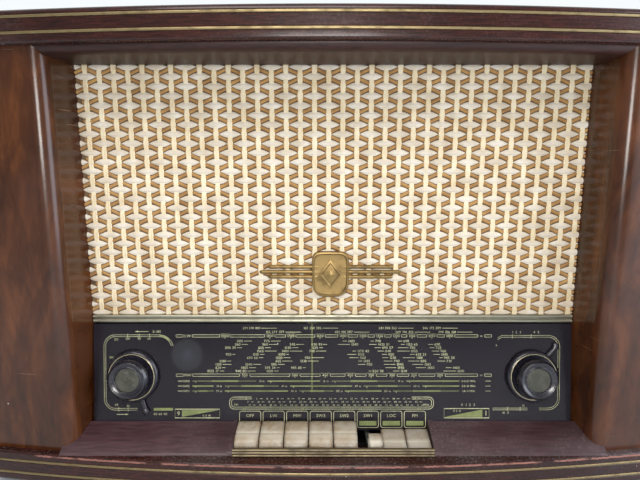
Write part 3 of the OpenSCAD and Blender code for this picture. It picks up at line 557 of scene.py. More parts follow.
@dataclass
class Shape:
    """Points and faces that grow into a mesh, with an optional UV for every face corner."""

    points: list[Vector] = field(default_factory=list)
    faces: list[tuple[int, ...]] = field(default_factory=list)
    uvs: list[list[Point]] = field(default_factory=list)

    def add(self, points: Iterable[Sequence[float]], faces: Iterable[Sequence[int]]) -> None:
        """Adds points and the faces between them."""
        base = len(self.points)
        self.points.extend(Vector(point) for point in points)
        self.faces.extend(tuple(base + index for index in face) for face in faces)

    def loft(self, rings: Sequence[Sequence[Sequence[float]]], caps: bool = True, loop: bool = False,
             uv: Callable[[int, int], Point] | None = None) -> None:
        """Joins rings of equal length into a skin.

        Args:
            rings: Closed rings of points. Anticlockwise rings that rise give outward faces.
            caps: Whether the first and last ring are filled.
            loop: Whether the last ring joins the first.
            uv: Gives the UV of a ring's point from its ring and place in the ring.
        """
        base, size = len(self.points), len(rings[0])
        for ring in rings:
            self.points.extend(Vector(point) for point in ring)
        count = len(rings)
        for row in range(count if loop else count - 1):
            above = (row + 1) % count
            for place in range(size):
                after = (place + 1) % size
                self.faces.append((base + row * size + place, base + row * size + after,
                                   base + above * size + after, base + above * size + place))
                if uv:
                    self.uvs.append([uv(row, place), uv(row, place + 1), uv(row + 1, place + 1), uv(row + 1, place)])
        if caps and not loop:
            self.faces.append(tuple(base + place for place in reversed(range(size))))
            self.faces.append(tuple(base + (count - 1) * size + place for place in range(size)))
            if uv:
                self.uvs.append([uv(0, place) for place in reversed(range(size))])
                self.uvs.append([uv(count - 1, place) for place in range(size)])

    def build(self, name: str, material: bpy.types.Material, smooth: float = 35.0,
              matrix: Matrix | None = None) -> bpy.types.Object:
        """Makes the object.

        Args:
            name: Its name.
            material: Its only material.
            smooth: Edges sharper than this angle, in degrees, stay sharp.
            matrix: Moves the points into place.

        Returns:
            The new object, linked to the scene.
        """
        mesh = bpy.data.meshes.new(name)
        moved = [matrix @ point for point in self.points] if matrix else self.points
        mesh.from_pydata(moved, [], self.faces)
        if self.uvs:
            layer = mesh.uv_layers.new(name="UVMap")
            corners = [corner for face in self.uvs for corner in face]
            for index, corner in enumerate(corners):
                layer.data[index].uv = corner
        mesh.materials.append(material)
        mesh.update()
        item = bpy.data.objects.new(name, mesh)
        bpy.context.scene.collection.objects.link(item)
        shade(item, smooth)
        return item


def shade(item: bpy.types.Object, angle: float) -> None:
    """Shades an object smooth, keeping edges sharper than angle, in degrees, sharp."""
    mesh = item.data
    mesh.polygons.foreach_set("use_smooth", [True] * len(mesh.polygons))
    mesh.set_sharp_from_angle(angle=math.radians(angle))


def weld(item: bpy.types.Object) -> None:
    """Merges doubled points and turns every face outwards."""
    work = bmesh.new()
    work.from_mesh(item.data)
    bmesh.ops.remove_doubles(work, verts=work.verts, dist=1e-6)
    bmesh.ops.recalc_face_normals(work, faces=work.faces)
    work.to_mesh(item.data)
    work.free()


def baked(item: bpy.types.Object, name: str) -> bpy.types.Object:
    """Replaces an object by a plain mesh of what its modifiers make.

    Args:
        item: The object, which is removed.
        name: The new object's name.

    Returns:
        The new object.
    """
    bpy.context.view_layer.update()
    graph = bpy.context.evaluated_depsgraph_get()
    mesh = bpy.data.meshes.new_from_object(item.evaluated_get(graph), depsgraph=graph)
    made = bpy.data.objects.new(name, mesh)
    bpy.context.scene.collection.objects.link(made)
    bpy.data.objects.remove(item)
    made.name = name
    mesh.name = name
    return made


def arc(centre: Point, radius: float, start: float, end: float, steps: int) -> list[Point]:
    """Points of an arc."""
    angles = [math.radians(start + (end - start) * step / steps) for step in range(steps + 1)]
    return [(centre[0] + radius * math.cos(angle), centre[1] + radius * math.sin(angle)) for angle in angles]


def slab(outline: Sequence[Point], low: float, high: float, nicks: float = 0.0) -> Shape:
    """An outline in the YZ plane drawn out along X.

    Args:
        outline: Anticlockwise points, as (y, z), seen from +X.
        low: Lowest X.
        high: Highest X.
        nicks: Width of a small chamfer at both ends.

    Returns:
        The closed shape.
    """
    middle = Vector((sum(p[0] for p in outline), sum(p[1] for p in outline))) / len(outline)
    span = max((Vector(p) - middle).length for p in outline)
    stations = [(low, 1 - nicks / span), (low + nicks, 1.0), (high - nicks, 1.0), (high, 1 - nicks / span)]
    if not nicks:
        stations = [(low, 1.0), (high, 1.0)]
    lengths = [0.0]
    for first, second in zip(outline, [*outline[1:], outline[0]]):
        lengths.append(lengths[-1] + math.dist(first, second))
    shape = Shape()
    rings = [[(x, middle.x + (y - middle.x) * grow, middle.y + (z - middle.y) * grow) for y, z in outline]
             for x, grow in stations]
    shape.loft(rings, uv=lambda row, place: (stations[row][0], lengths[place % len(lengths)]))
    return shape


def turned(profile: Sequence[Point], steps: int = 96) -> Shape:
    """A lathe-turned shape about Z.

    Args:
        profile: Points as (radius, height), from the axis at the bottom to the axis at the top.
        steps: Steps around.

    Returns:
        The closed shape, with its poles filled by small rings.
    """
    tiny = 1e-5
    shape = Shape()
    turns = [2 * math.pi * step / steps for step in range(steps)]
    shape.loft([[(max(radius, tiny) * math.cos(turn), max(radius, tiny) * math.sin(turn), height) for turn in turns]
                for radius, height in profile])
    return shape


class Repeater:
    """A Geometry Nodes tree that repeats one object over a grid in the XZ plane."""

    INPUTS = (("Columns", "NodeSocketInt"), ("Rows", "NodeSocketInt"), ("Column Pitch", "NodeSocketFloat"),
              ("Row Pitch", "NodeSocketFloat"), ("Column Stagger", "NodeSocketFloat"),
              ("Row Stagger", "NodeSocketFloat"), ("Start", "NodeSocketVector"), ("Pattern", "NodeSocketObject"),
              ("Material", "NodeSocketMaterial"))

    def __init__(self) -> None:
        """Builds the tree."""
        self.tree = bpy.data.node_groups.new("repeat_on_grid", "GeometryNodeTree")
        face = self.tree.interface
        face.new_socket("Geometry", in_out="INPUT", socket_type="NodeSocketGeometry")
        self.sockets = {name: face.new_socket(name, in_out="INPUT", socket_type=kind).identifier
                        for name, kind in self.INPUTS}
        face.new_socket("Geometry", in_out="OUTPUT", socket_type="NodeSocketGeometry")
        bench = Bench(self.tree)
        given = bench.node("NodeGroupInput")
        columns, rows = given.out("Columns"), given.out("Rows")
        grid = bench.node("GeometryNodeMeshLine", {"mode": "OFFSET"}, {"Count": columns * rows})
        index = bench.node("GeometryNodeInputIndex").out()
        column = (index / rows).floor()
        row = index.modulo(rows)
        x = column * given.out("Column Pitch") + row.modulo(2) * given.out("Row Stagger")
        z = row * given.out("Row Pitch") + column.modulo(2) * given.out("Column Stagger")
        spot = bench.node("ShaderNodeCombineXYZ", None, {"X": x, "Z": z}).out()
        moved = bench.node("ShaderNodeVectorMath", {"operation": "ADD"}, {0: spot, 1: given.out("Start")}).out()
        placed = bench.node("GeometryNodeSetPosition", None, {"Geometry": grid.out(), "Position": moved}).out()
        pattern = bench.node("GeometryNodeObjectInfo", {"transform_space": "ORIGINAL"},
                             {"Object": given.out("Pattern")}).out("Geometry")
        many = bench.node("GeometryNodeInstanceOnPoints", None, {"Points": placed, "Instance": pattern}).out()
        real = bench.node("GeometryNodeRealizeInstances", None, {0: many}).out()
        dressed = bench.node("GeometryNodeSetMaterial", None,
                             {"Geometry": real, "Material": given.out("Material")}).out()
        bench.node("NodeGroupOutput", None, {"Geometry": dressed})

    def spread(self, name: str, pattern: bpy.types.Object, material: bpy.types.Material,
               **values: object) -> bpy.types.Object:
        """Repeats a pattern and bakes the result.

        Args:
            name: The new piece's name.
            pattern: The object to repeat, which is removed.
            material: What the copies are made of.
            values: The tree's other inputs, with underscores for spaces.

        Returns:
            The piece, as a plain mesh.
        """
        carrier = bpy.data.objects.new(name + "_points", bpy.data.meshes.new(name + "_points"))
        bpy.context.scene.collection.objects.link(carrier)
        modifier = carrier.modifiers.new("repeat", "NODES")
        modifier.node_group = self.tree
        defaults = {"Columns": 1, "Rows": 1, "Column_Pitch": 0.0, "Row_Pitch": 0.0, "Column_Stagger": 0.0,
                    "Row_Stagger": 0.0}
        for key, value in {**defaults, **values, "Pattern": pattern, "Material": material}.items():
            modifier[self.sockets[key.replace("_", " ")]] = value
        made = baked(carrier, name)
        bpy.data.objects.remove(pattern)
        shade(made, 50.0)
        return made


def dress(piece: bpy.types.Object, body: str, slot: str, *replaced: str) -> bpy.types.Object:
    """Rides a finished piece on its body and hides the CAD nodes that it stands for."""
    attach(piece, body)
    if replaced:
        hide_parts(*replaced)
    LOG.info("piece %s on %s: %d faces", piece.name, body, len(piece.data.polygons))
    return piece


# ---- Cabinet ----


@dataclass(frozen=True)
class BowPlan:
    """Plan of the bowed boards: a wide arc in front, rounded front corners, a straight back."""

    half_width: float
    front: float
    rear: float
    bow: float = 2.055
    corner: float = 0.022

    def ring(self, inset: float) -> list[Point]:
        """The outline, moved inwards.

        Args:
            inset: How far it is moved in.

        Returns:
            Anticlockwise points seen from above, the same number for every inset.
        """
        half, radius, corner = self.half_width - inset, self.bow - inset, max(self.corner - inset, 0.004)
        centre = self.front + self.bow
        side = half - corner
        corner_y = centre - math.sqrt((radius - corner) ** 2 - side ** 2)
        turn = math.degrees(math.atan2(corner_y - centre, side))
        left = arc((-side, corner_y), corner, 180, 180 - turn, 12)
        bow = arc((0, centre), radius, 180 - turn, 360 + turn, 72)[1:-1]
        right = arc((side, corner_y), corner, 360 + turn, 360, 12)
        return [(half, self.rear - inset), (-half, self.rear - inset), *left, *bow, *right]


@dataclass
class Cabinet:
    """The wooden box: both mouldings, their brass strips, pillars, soffit and sills."""

    palette: Palette
    top_strips: tuple[float, float] = (0.4141, 0.4021)
    base_strips: tuple[float, float] = (0.0345, 0.0227)
    strip_half: float = 0.0013
    groove: float = 0.0016
    bullnose: float = 0.012
    wall: float = 0.009
    recess_rear: float = 0.2295
    recess_front: float = 0.2335
    pillar_corner: float = 0.016
    overhang: float = 0.007
    cove_setback: float = 0.008
    sill_rear: float = -0.1066
    hollow_half: float = 0.299
    hollow_front: float = -0.110
    slot_rear: float = -0.10
    back_rim: float = 0.014

    def __post_init__(self) -> None:
        """Reads the boards' places from the frame."""
        low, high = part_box("brass_strips")
        self.top_low, self.top_high = (corner.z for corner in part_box("cabinet_top"))
        self.base_low, self.base_high = (corner.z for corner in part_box("cabinet_base"))
        self.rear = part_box("cabinet_top")[1].y
        self.plan = BowPlan(high.x, low.y, self.rear)
        self.cloth_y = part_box("grille_cloth")[0].y
        self.side_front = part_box("side_left")[0].y
        self.centre = self.plan.front + self.plan.bow
        self.nose_x = self.recess_front + self.bullnose
        reach = self.plan.bow - self.overhang - self.bullnose
        self.nose_y = self.centre - math.sqrt(reach ** 2 - self.nose_x ** 2)

    def flank(self, y: float) -> float:
        """Half width of the recess at a depth, on the pillars' faces."""
        if y >= self.nose_y:
            share = (self.cloth_y - y) / (self.cloth_y - self.nose_y)
            return self.recess_rear + (self.recess_front - self.recess_rear) * share
        drop = min(self.nose_y - y, self.bullnose)
        return self.nose_x - math.sqrt(self.bullnose ** 2 - drop ** 2)

    def moulding(self, name: str, strips: Sequence[float], low: float, high: float,
                 top_round: float, bottom_round: float) -> bpy.types.Object:
        """A board with a shaped edge and a groove for each strip.

        Args:
            name: The piece's name.
            strips: Heights of the strips' middles, the highest first.
            low: Height of its underside.
            high: Height of its top.
            top_round: Radius of the upper edge.
            bottom_round: Radius of the lower edge.

        Returns:
            The board.
        """
        skin = 0.0004
        profile: list[Point] = [(0.02, low)]
        profile += [(skin + bottom_round * (1 - math.sin(math.radians(a))), low + bottom_round
                     * (1 - math.cos(math.radians(a)))) for a in range(0, 91, 15)]
        for strip in reversed(strips):
            bottom, top = strip - self.strip_half, strip + self.strip_half
            profile += [(skin, bottom - 0.0004), (skin + 0.0004, bottom), (self.groove, bottom),
                        (self.groove, top), (skin + 0.0004, top), (skin, top + 0.0004)]
        profile += [(skin + top_round * (1 - math.cos(math.radians(a))), high - top_round
                     * (1 - math.sin(math.radians(a)))) for a in range(0, 91, 15)]
        profile += [(0.02, high)]
        shape = Shape()
        shape.loft([[(x, y, z) for x, y in self.plan.ring(inset)] for inset, z in profile])
        return shape.build(name, self.palette[Finish.MAHOGANY], 40)

    def strips(self) -> bpy.types.Object:
        """The four half-round brass strips in their grooves."""
        shape = Shape()
        for middle in (*self.top_strips, *self.base_strips):
            half = self.strip_half - 0.0001
            profile = [(self.groove - 0.0002, middle - half), (0.0007, middle - half)]
            profile += [(0.0007 - 0.0007 * math.sin(math.pi * step / 6), middle - half * math.cos(math.pi * step / 6))
                        for step in range(1, 6)]
            profile += [(0.0007, middle + half), (self.groove - 0.0002, middle + half)]
            rings = [[(x, y, z) for x, y in self.plan.ring(inset)] for inset, z in profile]
            shape.loft(rings, caps=False, loop=True)
        return shape.build("brass_inlays", self.palette[Finish.BRASS], 40)

    def pocketed(self, board: bpy.types.Object) -> bpy.types.Object:
        """Cuts the hollow for the keys and the works out of the base."""
        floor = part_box("key_frame")[0].z
        slot_low, slot_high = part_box("key_threshold")
        over = self.base_high + 0.01
        boxes = (((-self.hollow_half, self.hollow_front, floor), (self.hollow_half, self.rear - self.back_rim, over)),
                 ((slot_low.x, slot_high.y, floor), (slot_high.x, self.slot_rear, over)))
        cutters = []
        for low, high in boxes:
            cutter = Shape()
            plan = [(low[0], low[1]), (high[0], low[1]), (high[0], high[1]), (low[0], high[1])]
            cutter.loft([[(x, y, z) for x, y in plan] for z in (low[2], high[2])])
            tool = cutter.build("pocket", self.palette[Finish.MAHOGANY])
            modifier = board.modifiers.new("pocket", "BOOLEAN")
            modifier.operation = "DIFFERENCE"
            modifier.solver = "EXACT"
            modifier.object = tool
            cutters.append(tool)
        cut = baked(board, "base_moulding")
        for tool in cutters:
            bpy.data.objects.remove(tool)
        shade(cut, 40)
        return cut

    def pillar(self, side: int) -> bpy.types.Object:
        """One pillar: a veneered wall from the cloth, round the bullnose, along the bow and to the side.

        Args:
            side: 1 for the listener's right, -1 for the left.

        Returns:
            The pillar.
        """
        centre, nose_x, nose_y = self.centre, self.nose_x, self.nose_y
        radius = self.plan.bow - self.overhang
        nose_turn = math.degrees(math.atan2(nose_y - centre, nose_x))
        out_x = self.plan.half_width - self.overhang - self.pillar_corner
        out_y = centre - math.sqrt((radius - self.pillar_corner) ** 2 - out_x ** 2)
        out_turn = math.degrees(math.atan2(out_y - centre, out_x))
        edge = self.plan.half_width - self.overhang

        def path(depth: float) -> list[Point]:
            """The wall's line, moved inwards by depth."""
            start = (self.recess_rear + depth, self.cloth_y)
            nose = arc((nose_x, nose_y), self.bullnose - depth, -187, nose_turn, 24)
            front = arc((0, centre), radius - depth, nose_turn, out_turn, 16)[1:-1]
            corner = arc((out_x, out_y), self.pillar_corner - depth, out_turn, 0, 16)
            return [start, *nose, *front, *corner, (edge - depth, self.side_front)]

        outer = path(0.0)
        inner = path(self.wall - 0.0004)
        ring = [*outer, *reversed(inner)]
        runs = [0.0]
        for first, second in zip(ring, ring[1:]):
            runs.append(runs[-1] + math.dist(first, second))
        runs.append(runs[-1] + self.wall)
        levels = [self.base_high, self.top_low]
        placed = [(x * side, y) for x, y in (ring if side > 0 else reversed(ring))]
        lengths = runs if side > 0 else list(reversed(runs))
        shape = Shape()
        shape.loft([[(x, y, z) for x, y in placed] for z in levels],
                   uv=lambda row, place: (lengths[min(place, len(lengths) - 1)] + side, levels[row]))
        name = "pillar_skin_right" if side > 0 else "pillar_skin_left"
        return shape.build(name, self.palette[Finish.PILLAR], 50)

    def cove(self) -> bpy.types.Object:
        """The soffit over the cloth; its round front edge follows the bow and runs into the pillars."""
        low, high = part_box("top_cove")
        edge, deep, tall = self.plan.bow - self.cove_setback, 0.0085, high.z - low.z - 0.0003
        profile = [(None, high.z, self.recess_rear), (None, low.z, self.recess_rear)]
        for angle in range(0, 91, 9):
            turn = math.radians(angle)
            rise = tall * (1 - math.cos(turn))
            profile.append((deep * (1 - math.sin(turn)), low.z + rise, self.recess_front + rise * 1.2))
        profile.append((0.0, high.z, self.recess_front + tall * 1.2))
        shape = Shape()
        rings = []
        for step in range(65):
            share = -1 + step / 32
            ring = []
            for setback, z, reach in profile:
                x = share * reach
                y = high.y if setback is None else self.centre - math.sqrt((edge - setback) ** 2 - x ** 2)
                ring.append((x, y, z))
            rings.append(ring)
        shape.loft(rings)
        made = shape.build("soffit", self.palette[Finish.COVE], 50)
        weld(made)
        shade(made, 50)
        return made

    def sill(self, side: int) -> bpy.types.Object:
        """The rolled sill between a pillar and the keys, with its raised cheek.

        Args:
            side: 1 for the listener's right, -1 for the left.

        Returns:
            The sill.
        """
        low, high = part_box("sill_right" if side > 0 else "sill_left")
        rear, top = self.sill_rear, high.z
        toe = (low.y + 0.0018, self.base_high + 0.0012)
        hump = 0.0034
        crown = []
        for step in range(17):
            share = step / 16
            lift = hump * math.sin(math.pi * share ** 1.35) ** 1.2
            crown.append((rear + (toe[0] - rear) * share, top + (toe[1] - top) * share + lift * 0.6))
        outline = [(low.y + 0.0012, self.base_high), (rear - 0.0018, self.base_high), *crown]
        near = min(abs(low.x), abs(high.x))
        inner = [(near * side, y, z) for y, z in outline]
        outer = [(self.flank(y) * side, y, z) for y, z in outline]
        shape = Shape()
        shape.loft([inner, outer] if side > 0 else [outer, inner])
        cheek = [(y, z + (0.0011 if z > self.base_high + 0.001 else 0.0)) for y, z in outline]
        ends = (near - 0.0018, near + 0.0022) if side > 0 else (-near - 0.0022, -near + 0.0018)
        shape.loft([[(x, y, z) for y, z in cheek] for x in ends])
        return shape.build(f"sill_skin_{'right' if side > 0 else 'left'}", self.palette[Finish.SILL], 50)

    def build(self) -> None:
        """Makes and dresses the whole cabinet."""
        top = self.moulding("top_moulding", self.top_strips, self.top_low, self.top_high, 0.0045, 0.0022)
        dress(top, "cabinet", "mahogany_lacquer", "cabinet_top")
        base = self.moulding("base_moulding_raw", self.base_strips, self.base_low, self.base_high, 0.0022, 0.003)
        dress(self.pocketed(base), "cabinet", "mahogany_lacquer", "cabinet_base")
        dress(self.strips(), "cabinet", "trim_brass", "brass_strips")
        dress(self.cove(), "cabinet", "mahogany_lacquer", "top_cove")
        for side, name in ((-1, "left"), (1, "right")):
            dress(self.pillar(side), "cabinet", "walnut_veneer", f"pillar_{name}")
            dress(self.sill(side), "cabinet", "sill_lacquer", f"sill_{name}")


# ---- Grille ----


@dataclass
class Grille:
    """The woven cloth with its pads, strands and chevrons, the badge and the trim strip below."""

    palette: Palette
    repeater: Repeater
    column: float = 0.01275
    row: float = 0.01675
    shift_x: float = -0.0042
    shift_z: float = 0.0113
    pad_half: float = 0.0099
    pad_height: float = 0.0035
    pad_bulge: float = 0.0013
    strand_half: float = 0.00255
    chevron_half: float = 0.0016
    chevron_slope: float = 0.47
    chevron_drop: float = 0.0069

    def __post_init__(self) -> None:
        """Reads the cloth's place from the frame and lays the pattern out past its edges."""
        self.low, self.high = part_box("grille_cloth")
        self.face = self.low.y - 0.0002
        self.columns = 2 * int((self.high.x - 0.001) / self.column) + 5
        self.rows = int((self.high.z - self.low.z) / self.row) + 2
        left = -(self.columns - 1) / 2 * self.column + self.shift_x
        self.first = Vector((left, self.face, self.low.z + self.shift_z - self.row))

    def pad(self) -> bpy.types.Object:
        """One lens-shaped float of white yarn, pointed at both ends."""
        shape = Shape()
        across, up = 8, 4
        rings = []
        for step in range(across + 1):
            share = -1 + 2 * step / across
            half = self.pad_height * max(1 - abs(share) ** 1.55, 0.04) ** 0.85
            proud = self.pad_bulge * max(1 - share ** 2, 0.06) ** 0.5
            front = [(share * self.pad_half, -0.0003 - proud * math.cos(math.pi / 2 * v) ** 0.6, half * v)
                     for v in [-1 + 2 * k / up for k in range(up + 1)]]
            x = share * self.pad_half
            rings.append([*front, (x, 0.0002, half * 0.9), (x, 0.0002, -half * 0.9)])
        shape.loft(rings)
        return shape.build("pad", self.palette[Finish.PAD], 60)

    def strand(self) -> bpy.types.Object:
        """One upright strand that rises between the pads and dives under them."""
        shape = Shape()
        steps = 8
        rings = []
        total = self.rows + 2
        for step in range(total * steps + 1):
            z = (step / steps - 0.5) * self.row
            rise = 0.0007 * (0.5 - 0.5 * math.cos(2 * math.pi * step / steps + math.pi))
            width = self.strand_half * (0.86 + 0.14 * math.cos(2 * math.pi * step / steps))
            profile = [(-1.0, 0.0), (-0.72, 0.62), (-0.36, 0.62), (-0.3, 0.5), (0.0, 0.72), (0.3, 0.5), (0.36, 0.62),
                       (0.72, 0.62), (1.0, 0.0), (0.0, -0.4)]
            rings.append([(x * width, -0.0005 - rise - y * 0.0008, z) for x, y in profile])
        shape.loft(rings)
        return shape.build("strand", self.palette[Finish.STRAND], 60)

    def chevron(self) -> bpy.types.Object:
        """One zigzag yarn that runs across the cloth in the gaps between the pads."""
        shape = Shape()
        half_span = self.high.x + 2 * self.column
        steps = int(2 * half_span / self.column * 4)
        rings = []
        for step in range(steps + 1):
            x = -half_span + 2 * half_span * step / steps
            phase = abs((x / self.column + 1) % 2 - 1)
            z = -self.chevron_drop + self.chevron_slope * self.column * phase
            ring = [(x, -0.0003 - 0.0011 * max(math.sin(turn), -0.2), z + self.chevron_half * math.cos(turn))
                    for turn in [2 * math.pi * k / 8 for k in range(8)]]
            rings.append(ring)
        shape.loft(rings)
        return shape.build("chevron", self.palette[Finish.CHEVRON], 60)

    def trimmed(self, item: bpy.types.Object, name: str) -> bpy.types.Object:
        """Cuts a piece of weave off at the cloth's edges."""
        low, high = self.low, self.high
        work = bmesh.new()
        work.from_mesh(item.data)
        for point, normal in (((low.x, 0, 0), (-1, 0, 0)), ((high.x, 0, 0), (1, 0, 0)),
                              ((0, 0, low.z), (0, 0, -1)), ((0, 0, high.z - 0.0002), (0, 0, 1))):
            geometry = [*work.verts, *work.edges, *work.faces]
            cut = bmesh.ops.bisect_plane(work, geom=geometry, plane_co=point, plane_no=normal, clear_outer=True)
            rim = [part for part in cut["geom_cut"] if isinstance(part, bmesh.types.BMEdge)]
            bmesh.ops.holes_fill(work, edges=rim)
        work.to_mesh(item.data)
        work.free()
        item.name = name
        shade(item, 50)
        return item

    def ground(self) -> bpy.types.Object:
        """The dark open cloth behind the pattern."""
        shape = Shape()
        columns, rows = 46, 24
        step_x, step_z = (self.high.x - self.low.x) / columns, (self.high.z - self.low.z) / rows
        points = [(self.low.x + i * step_x, self.low.y, self.low.z + j * step_z)
                  for j in range(rows + 1) for i in range(columns + 1)]
        width = columns + 1
        faces = [(j * width + i, j * width + i + 1, (j + 1) * width + i + 1, (j + 1) * width + i)
                 for j in range(rows) for i in range(columns)]
        shape.add(points, faces)
        return shape.build("grille_ground_cloth", self.palette[Finish.GROUND])

    def badge(self) -> bpy.types.Object:
        """Plain cushion badge with a lozenge, and three reeded bars behind it."""
        low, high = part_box("badge")
        middle = (low.x + high.x) / 2
        bar_y = self.low.y - 0.0016
        level = 0.2002
        shape = Shape()
        for height, reach in ((level, (high.x - low.x) / 2), (level + 0.0048, 0.059), (level - 0.0048, 0.059)):
            stations = [(-reach, 0.25), (-reach + 0.0012, 0.8), (-reach + 0.003, 1.0),
                        (reach - 0.003, 1.0), (reach - 0.0012, 0.8), (reach, 0.25)]
            shape.loft([[(middle + x, bar_y - 0.0019 * grow * math.sin(turn), height + 0.0019 * grow * math.cos(turn))
                         for turn in [2 * math.pi * k / 12 for k in range(12)]] for x, grow in stations])
        half_w, half_h, foot = (0.0176, 0.0221, self.low.y)
        outline = []
        for step in range(64):
            turn = 2 * math.pi * step / 64
            c, s = math.cos(turn), math.sin(turn)
            squash = 0.36 if s > 0 else 0.62
            outline.append((half_w * math.copysign(abs(c) ** squash, c), half_h * math.copysign(abs(s) ** squash, s)))
        centre_z = (low.z + high.z) / 2
        levels = [(1.0, 0.0), (1.0, 0.0030), (0.96, 0.0042), (0.90, 0.0044), (0.86, 0.0034), (0.80, 0.0032),
                  (0.4, 0.0036), (0.02, 0.0038)]
        rings = [[(middle + x * grow, foot - rise, centre_z + z * grow) for x, z in outline] for grow, rise in levels]
        shape.loft(rings)
        lozenge = [(0.011, 0), (0.0, 0.0145), (-0.011, 0), (0.0, -0.0145)]
        steps = [(1.0, 0.0030), (0.98, 0.0045), (0.80, 0.0049), (0.70, 0.0043), (0.05, 0.0062)]
        shape.loft([[(middle + x * grow, foot - rise, centre_z + z * grow) for x, z in lozenge]
                    for grow, rise in steps])
        made = shape.build("badge_plate", self.palette[Finish.BADGE], 30)
        weld(made)
        shade(made, 30)
        return made

    def trim(self) -> bpy.types.Object:
        """The two-rib strip between cloth and dial."""
        low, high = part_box("trim_strip")
        radius = (high.z - low.z) / 4 - 0.0001
        ribs = []
        for centre in (low.z + radius, high.z - radius):
            ribs += arc((self.low.y - 0.0016, centre), radius, 260, 100, 12)
        outline = [(self.low.y, high.z - 0.0002), *reversed(ribs), (self.low.y, low.z + 0.0002)]
        return slab(outline, low.x, high.x).build("dial_trim", self.palette[Finish.SILVERED], 60)

    def build(self) -> None:
        """Makes and dresses the cloth, badge and strip."""
        start = self.first
        half_row = self.row / 2
        pads = self.repeater.spread(
            "grille_pads", self.pad(), self.palette[Finish.PAD], Columns=self.columns, Rows=self.rows + 1,
            Column_Pitch=self.column, Row_Pitch=self.row, Column_Stagger=half_row, Start=tuple(start))
        strands = self.repeater.spread(
            "grille_strands", self.strand(), self.palette[Finish.STRAND], Columns=self.columns,
            Column_Pitch=self.column, Column_Stagger=half_row, Start=tuple(start - Vector((0, 0, self.row))))
        chevrons = self.repeater.spread(
            "grille_chevrons", self.chevron(), self.palette[Finish.CHEVRON], Rows=2 * self.rows + 3,
            Row_Pitch=half_row, Row_Stagger=self.column,
            Start=(start.x % (2 * self.column), start.y, start.z))
        cloth = self.ground()
        patterns = [self.trimmed(piece, piece.name) for piece in (pads, strands, chevrons)]
        for piece in patterns:
            dress(piece, "cabinet", "grille_fabric")
        dress(cloth, "cabinet", "grille_fabric", "grille_cloth")
        dress(self.badge(), "cabinet", "badge_bronze", "badge")
        dress(self.trim(), "cabinet", "trim_brass", "trim_strip")


# ---- Dial ----


@dataclass(frozen=True)
class DialPlace:
    """The leaning plane of the dial: X along it, V up the glass, and out of the glass."""

    origin: Vector
    lean: float

    def matrix(self) -> Matrix:
        """Turns (x, v, out) in metres into the frame."""
        up = Vector((0, math.sin(self.lean), math.cos(self.lean)))
        out = Vector((0, -math.cos(self.lean), math.sin(self.lean)))
        along = Vector((1, 0, 0))
        turn = Matrix((along, up, out)).transposed().to_4x4()
        return Matrix.Translation(self.origin) @ turn

    def at(self, x: float, v: float, out: float = 0.0) -> Vector:
        """A point of the dial in the frame."""
        return self.matrix() @ Vector((x, v, out))


class Glyphs:
    """Flat letter shapes of the built-in face, each made once."""

    def __init__(self) -> None:
        """Starts with no letter made."""
        self._made: dict[str, tuple[list[Point], list[tuple[int, ...]], float]] = {}

    def shape(self, letter: str) -> tuple[list[Point], list[tuple[int, ...]], float]:
        """Points, faces and width of a letter that is one unit high."""
        if letter not in self._made:
            curve = bpy.data.curves.new("glyph", "FONT")
            curve.body = letter
            curve.size = 1.4
            curve.resolution_u = 2
            carrier = bpy.data.objects.new("glyph", curve)
            bpy.context.scene.collection.objects.link(carrier)
            bpy.context.view_layer.update()
            mesh = carrier.to_mesh()
            points = [(vertex.co.x, vertex.co.y) for vertex in mesh.vertices]
            faces = [tuple(face.vertices) for face in mesh.polygons]
            width = max((point[0] for point in points), default=0.5) + 0.12
            carrier.to_mesh_clear()
            bpy.data.objects.remove(carrier)
            self._made[letter] = (points, faces, width)
        return self._made[letter]


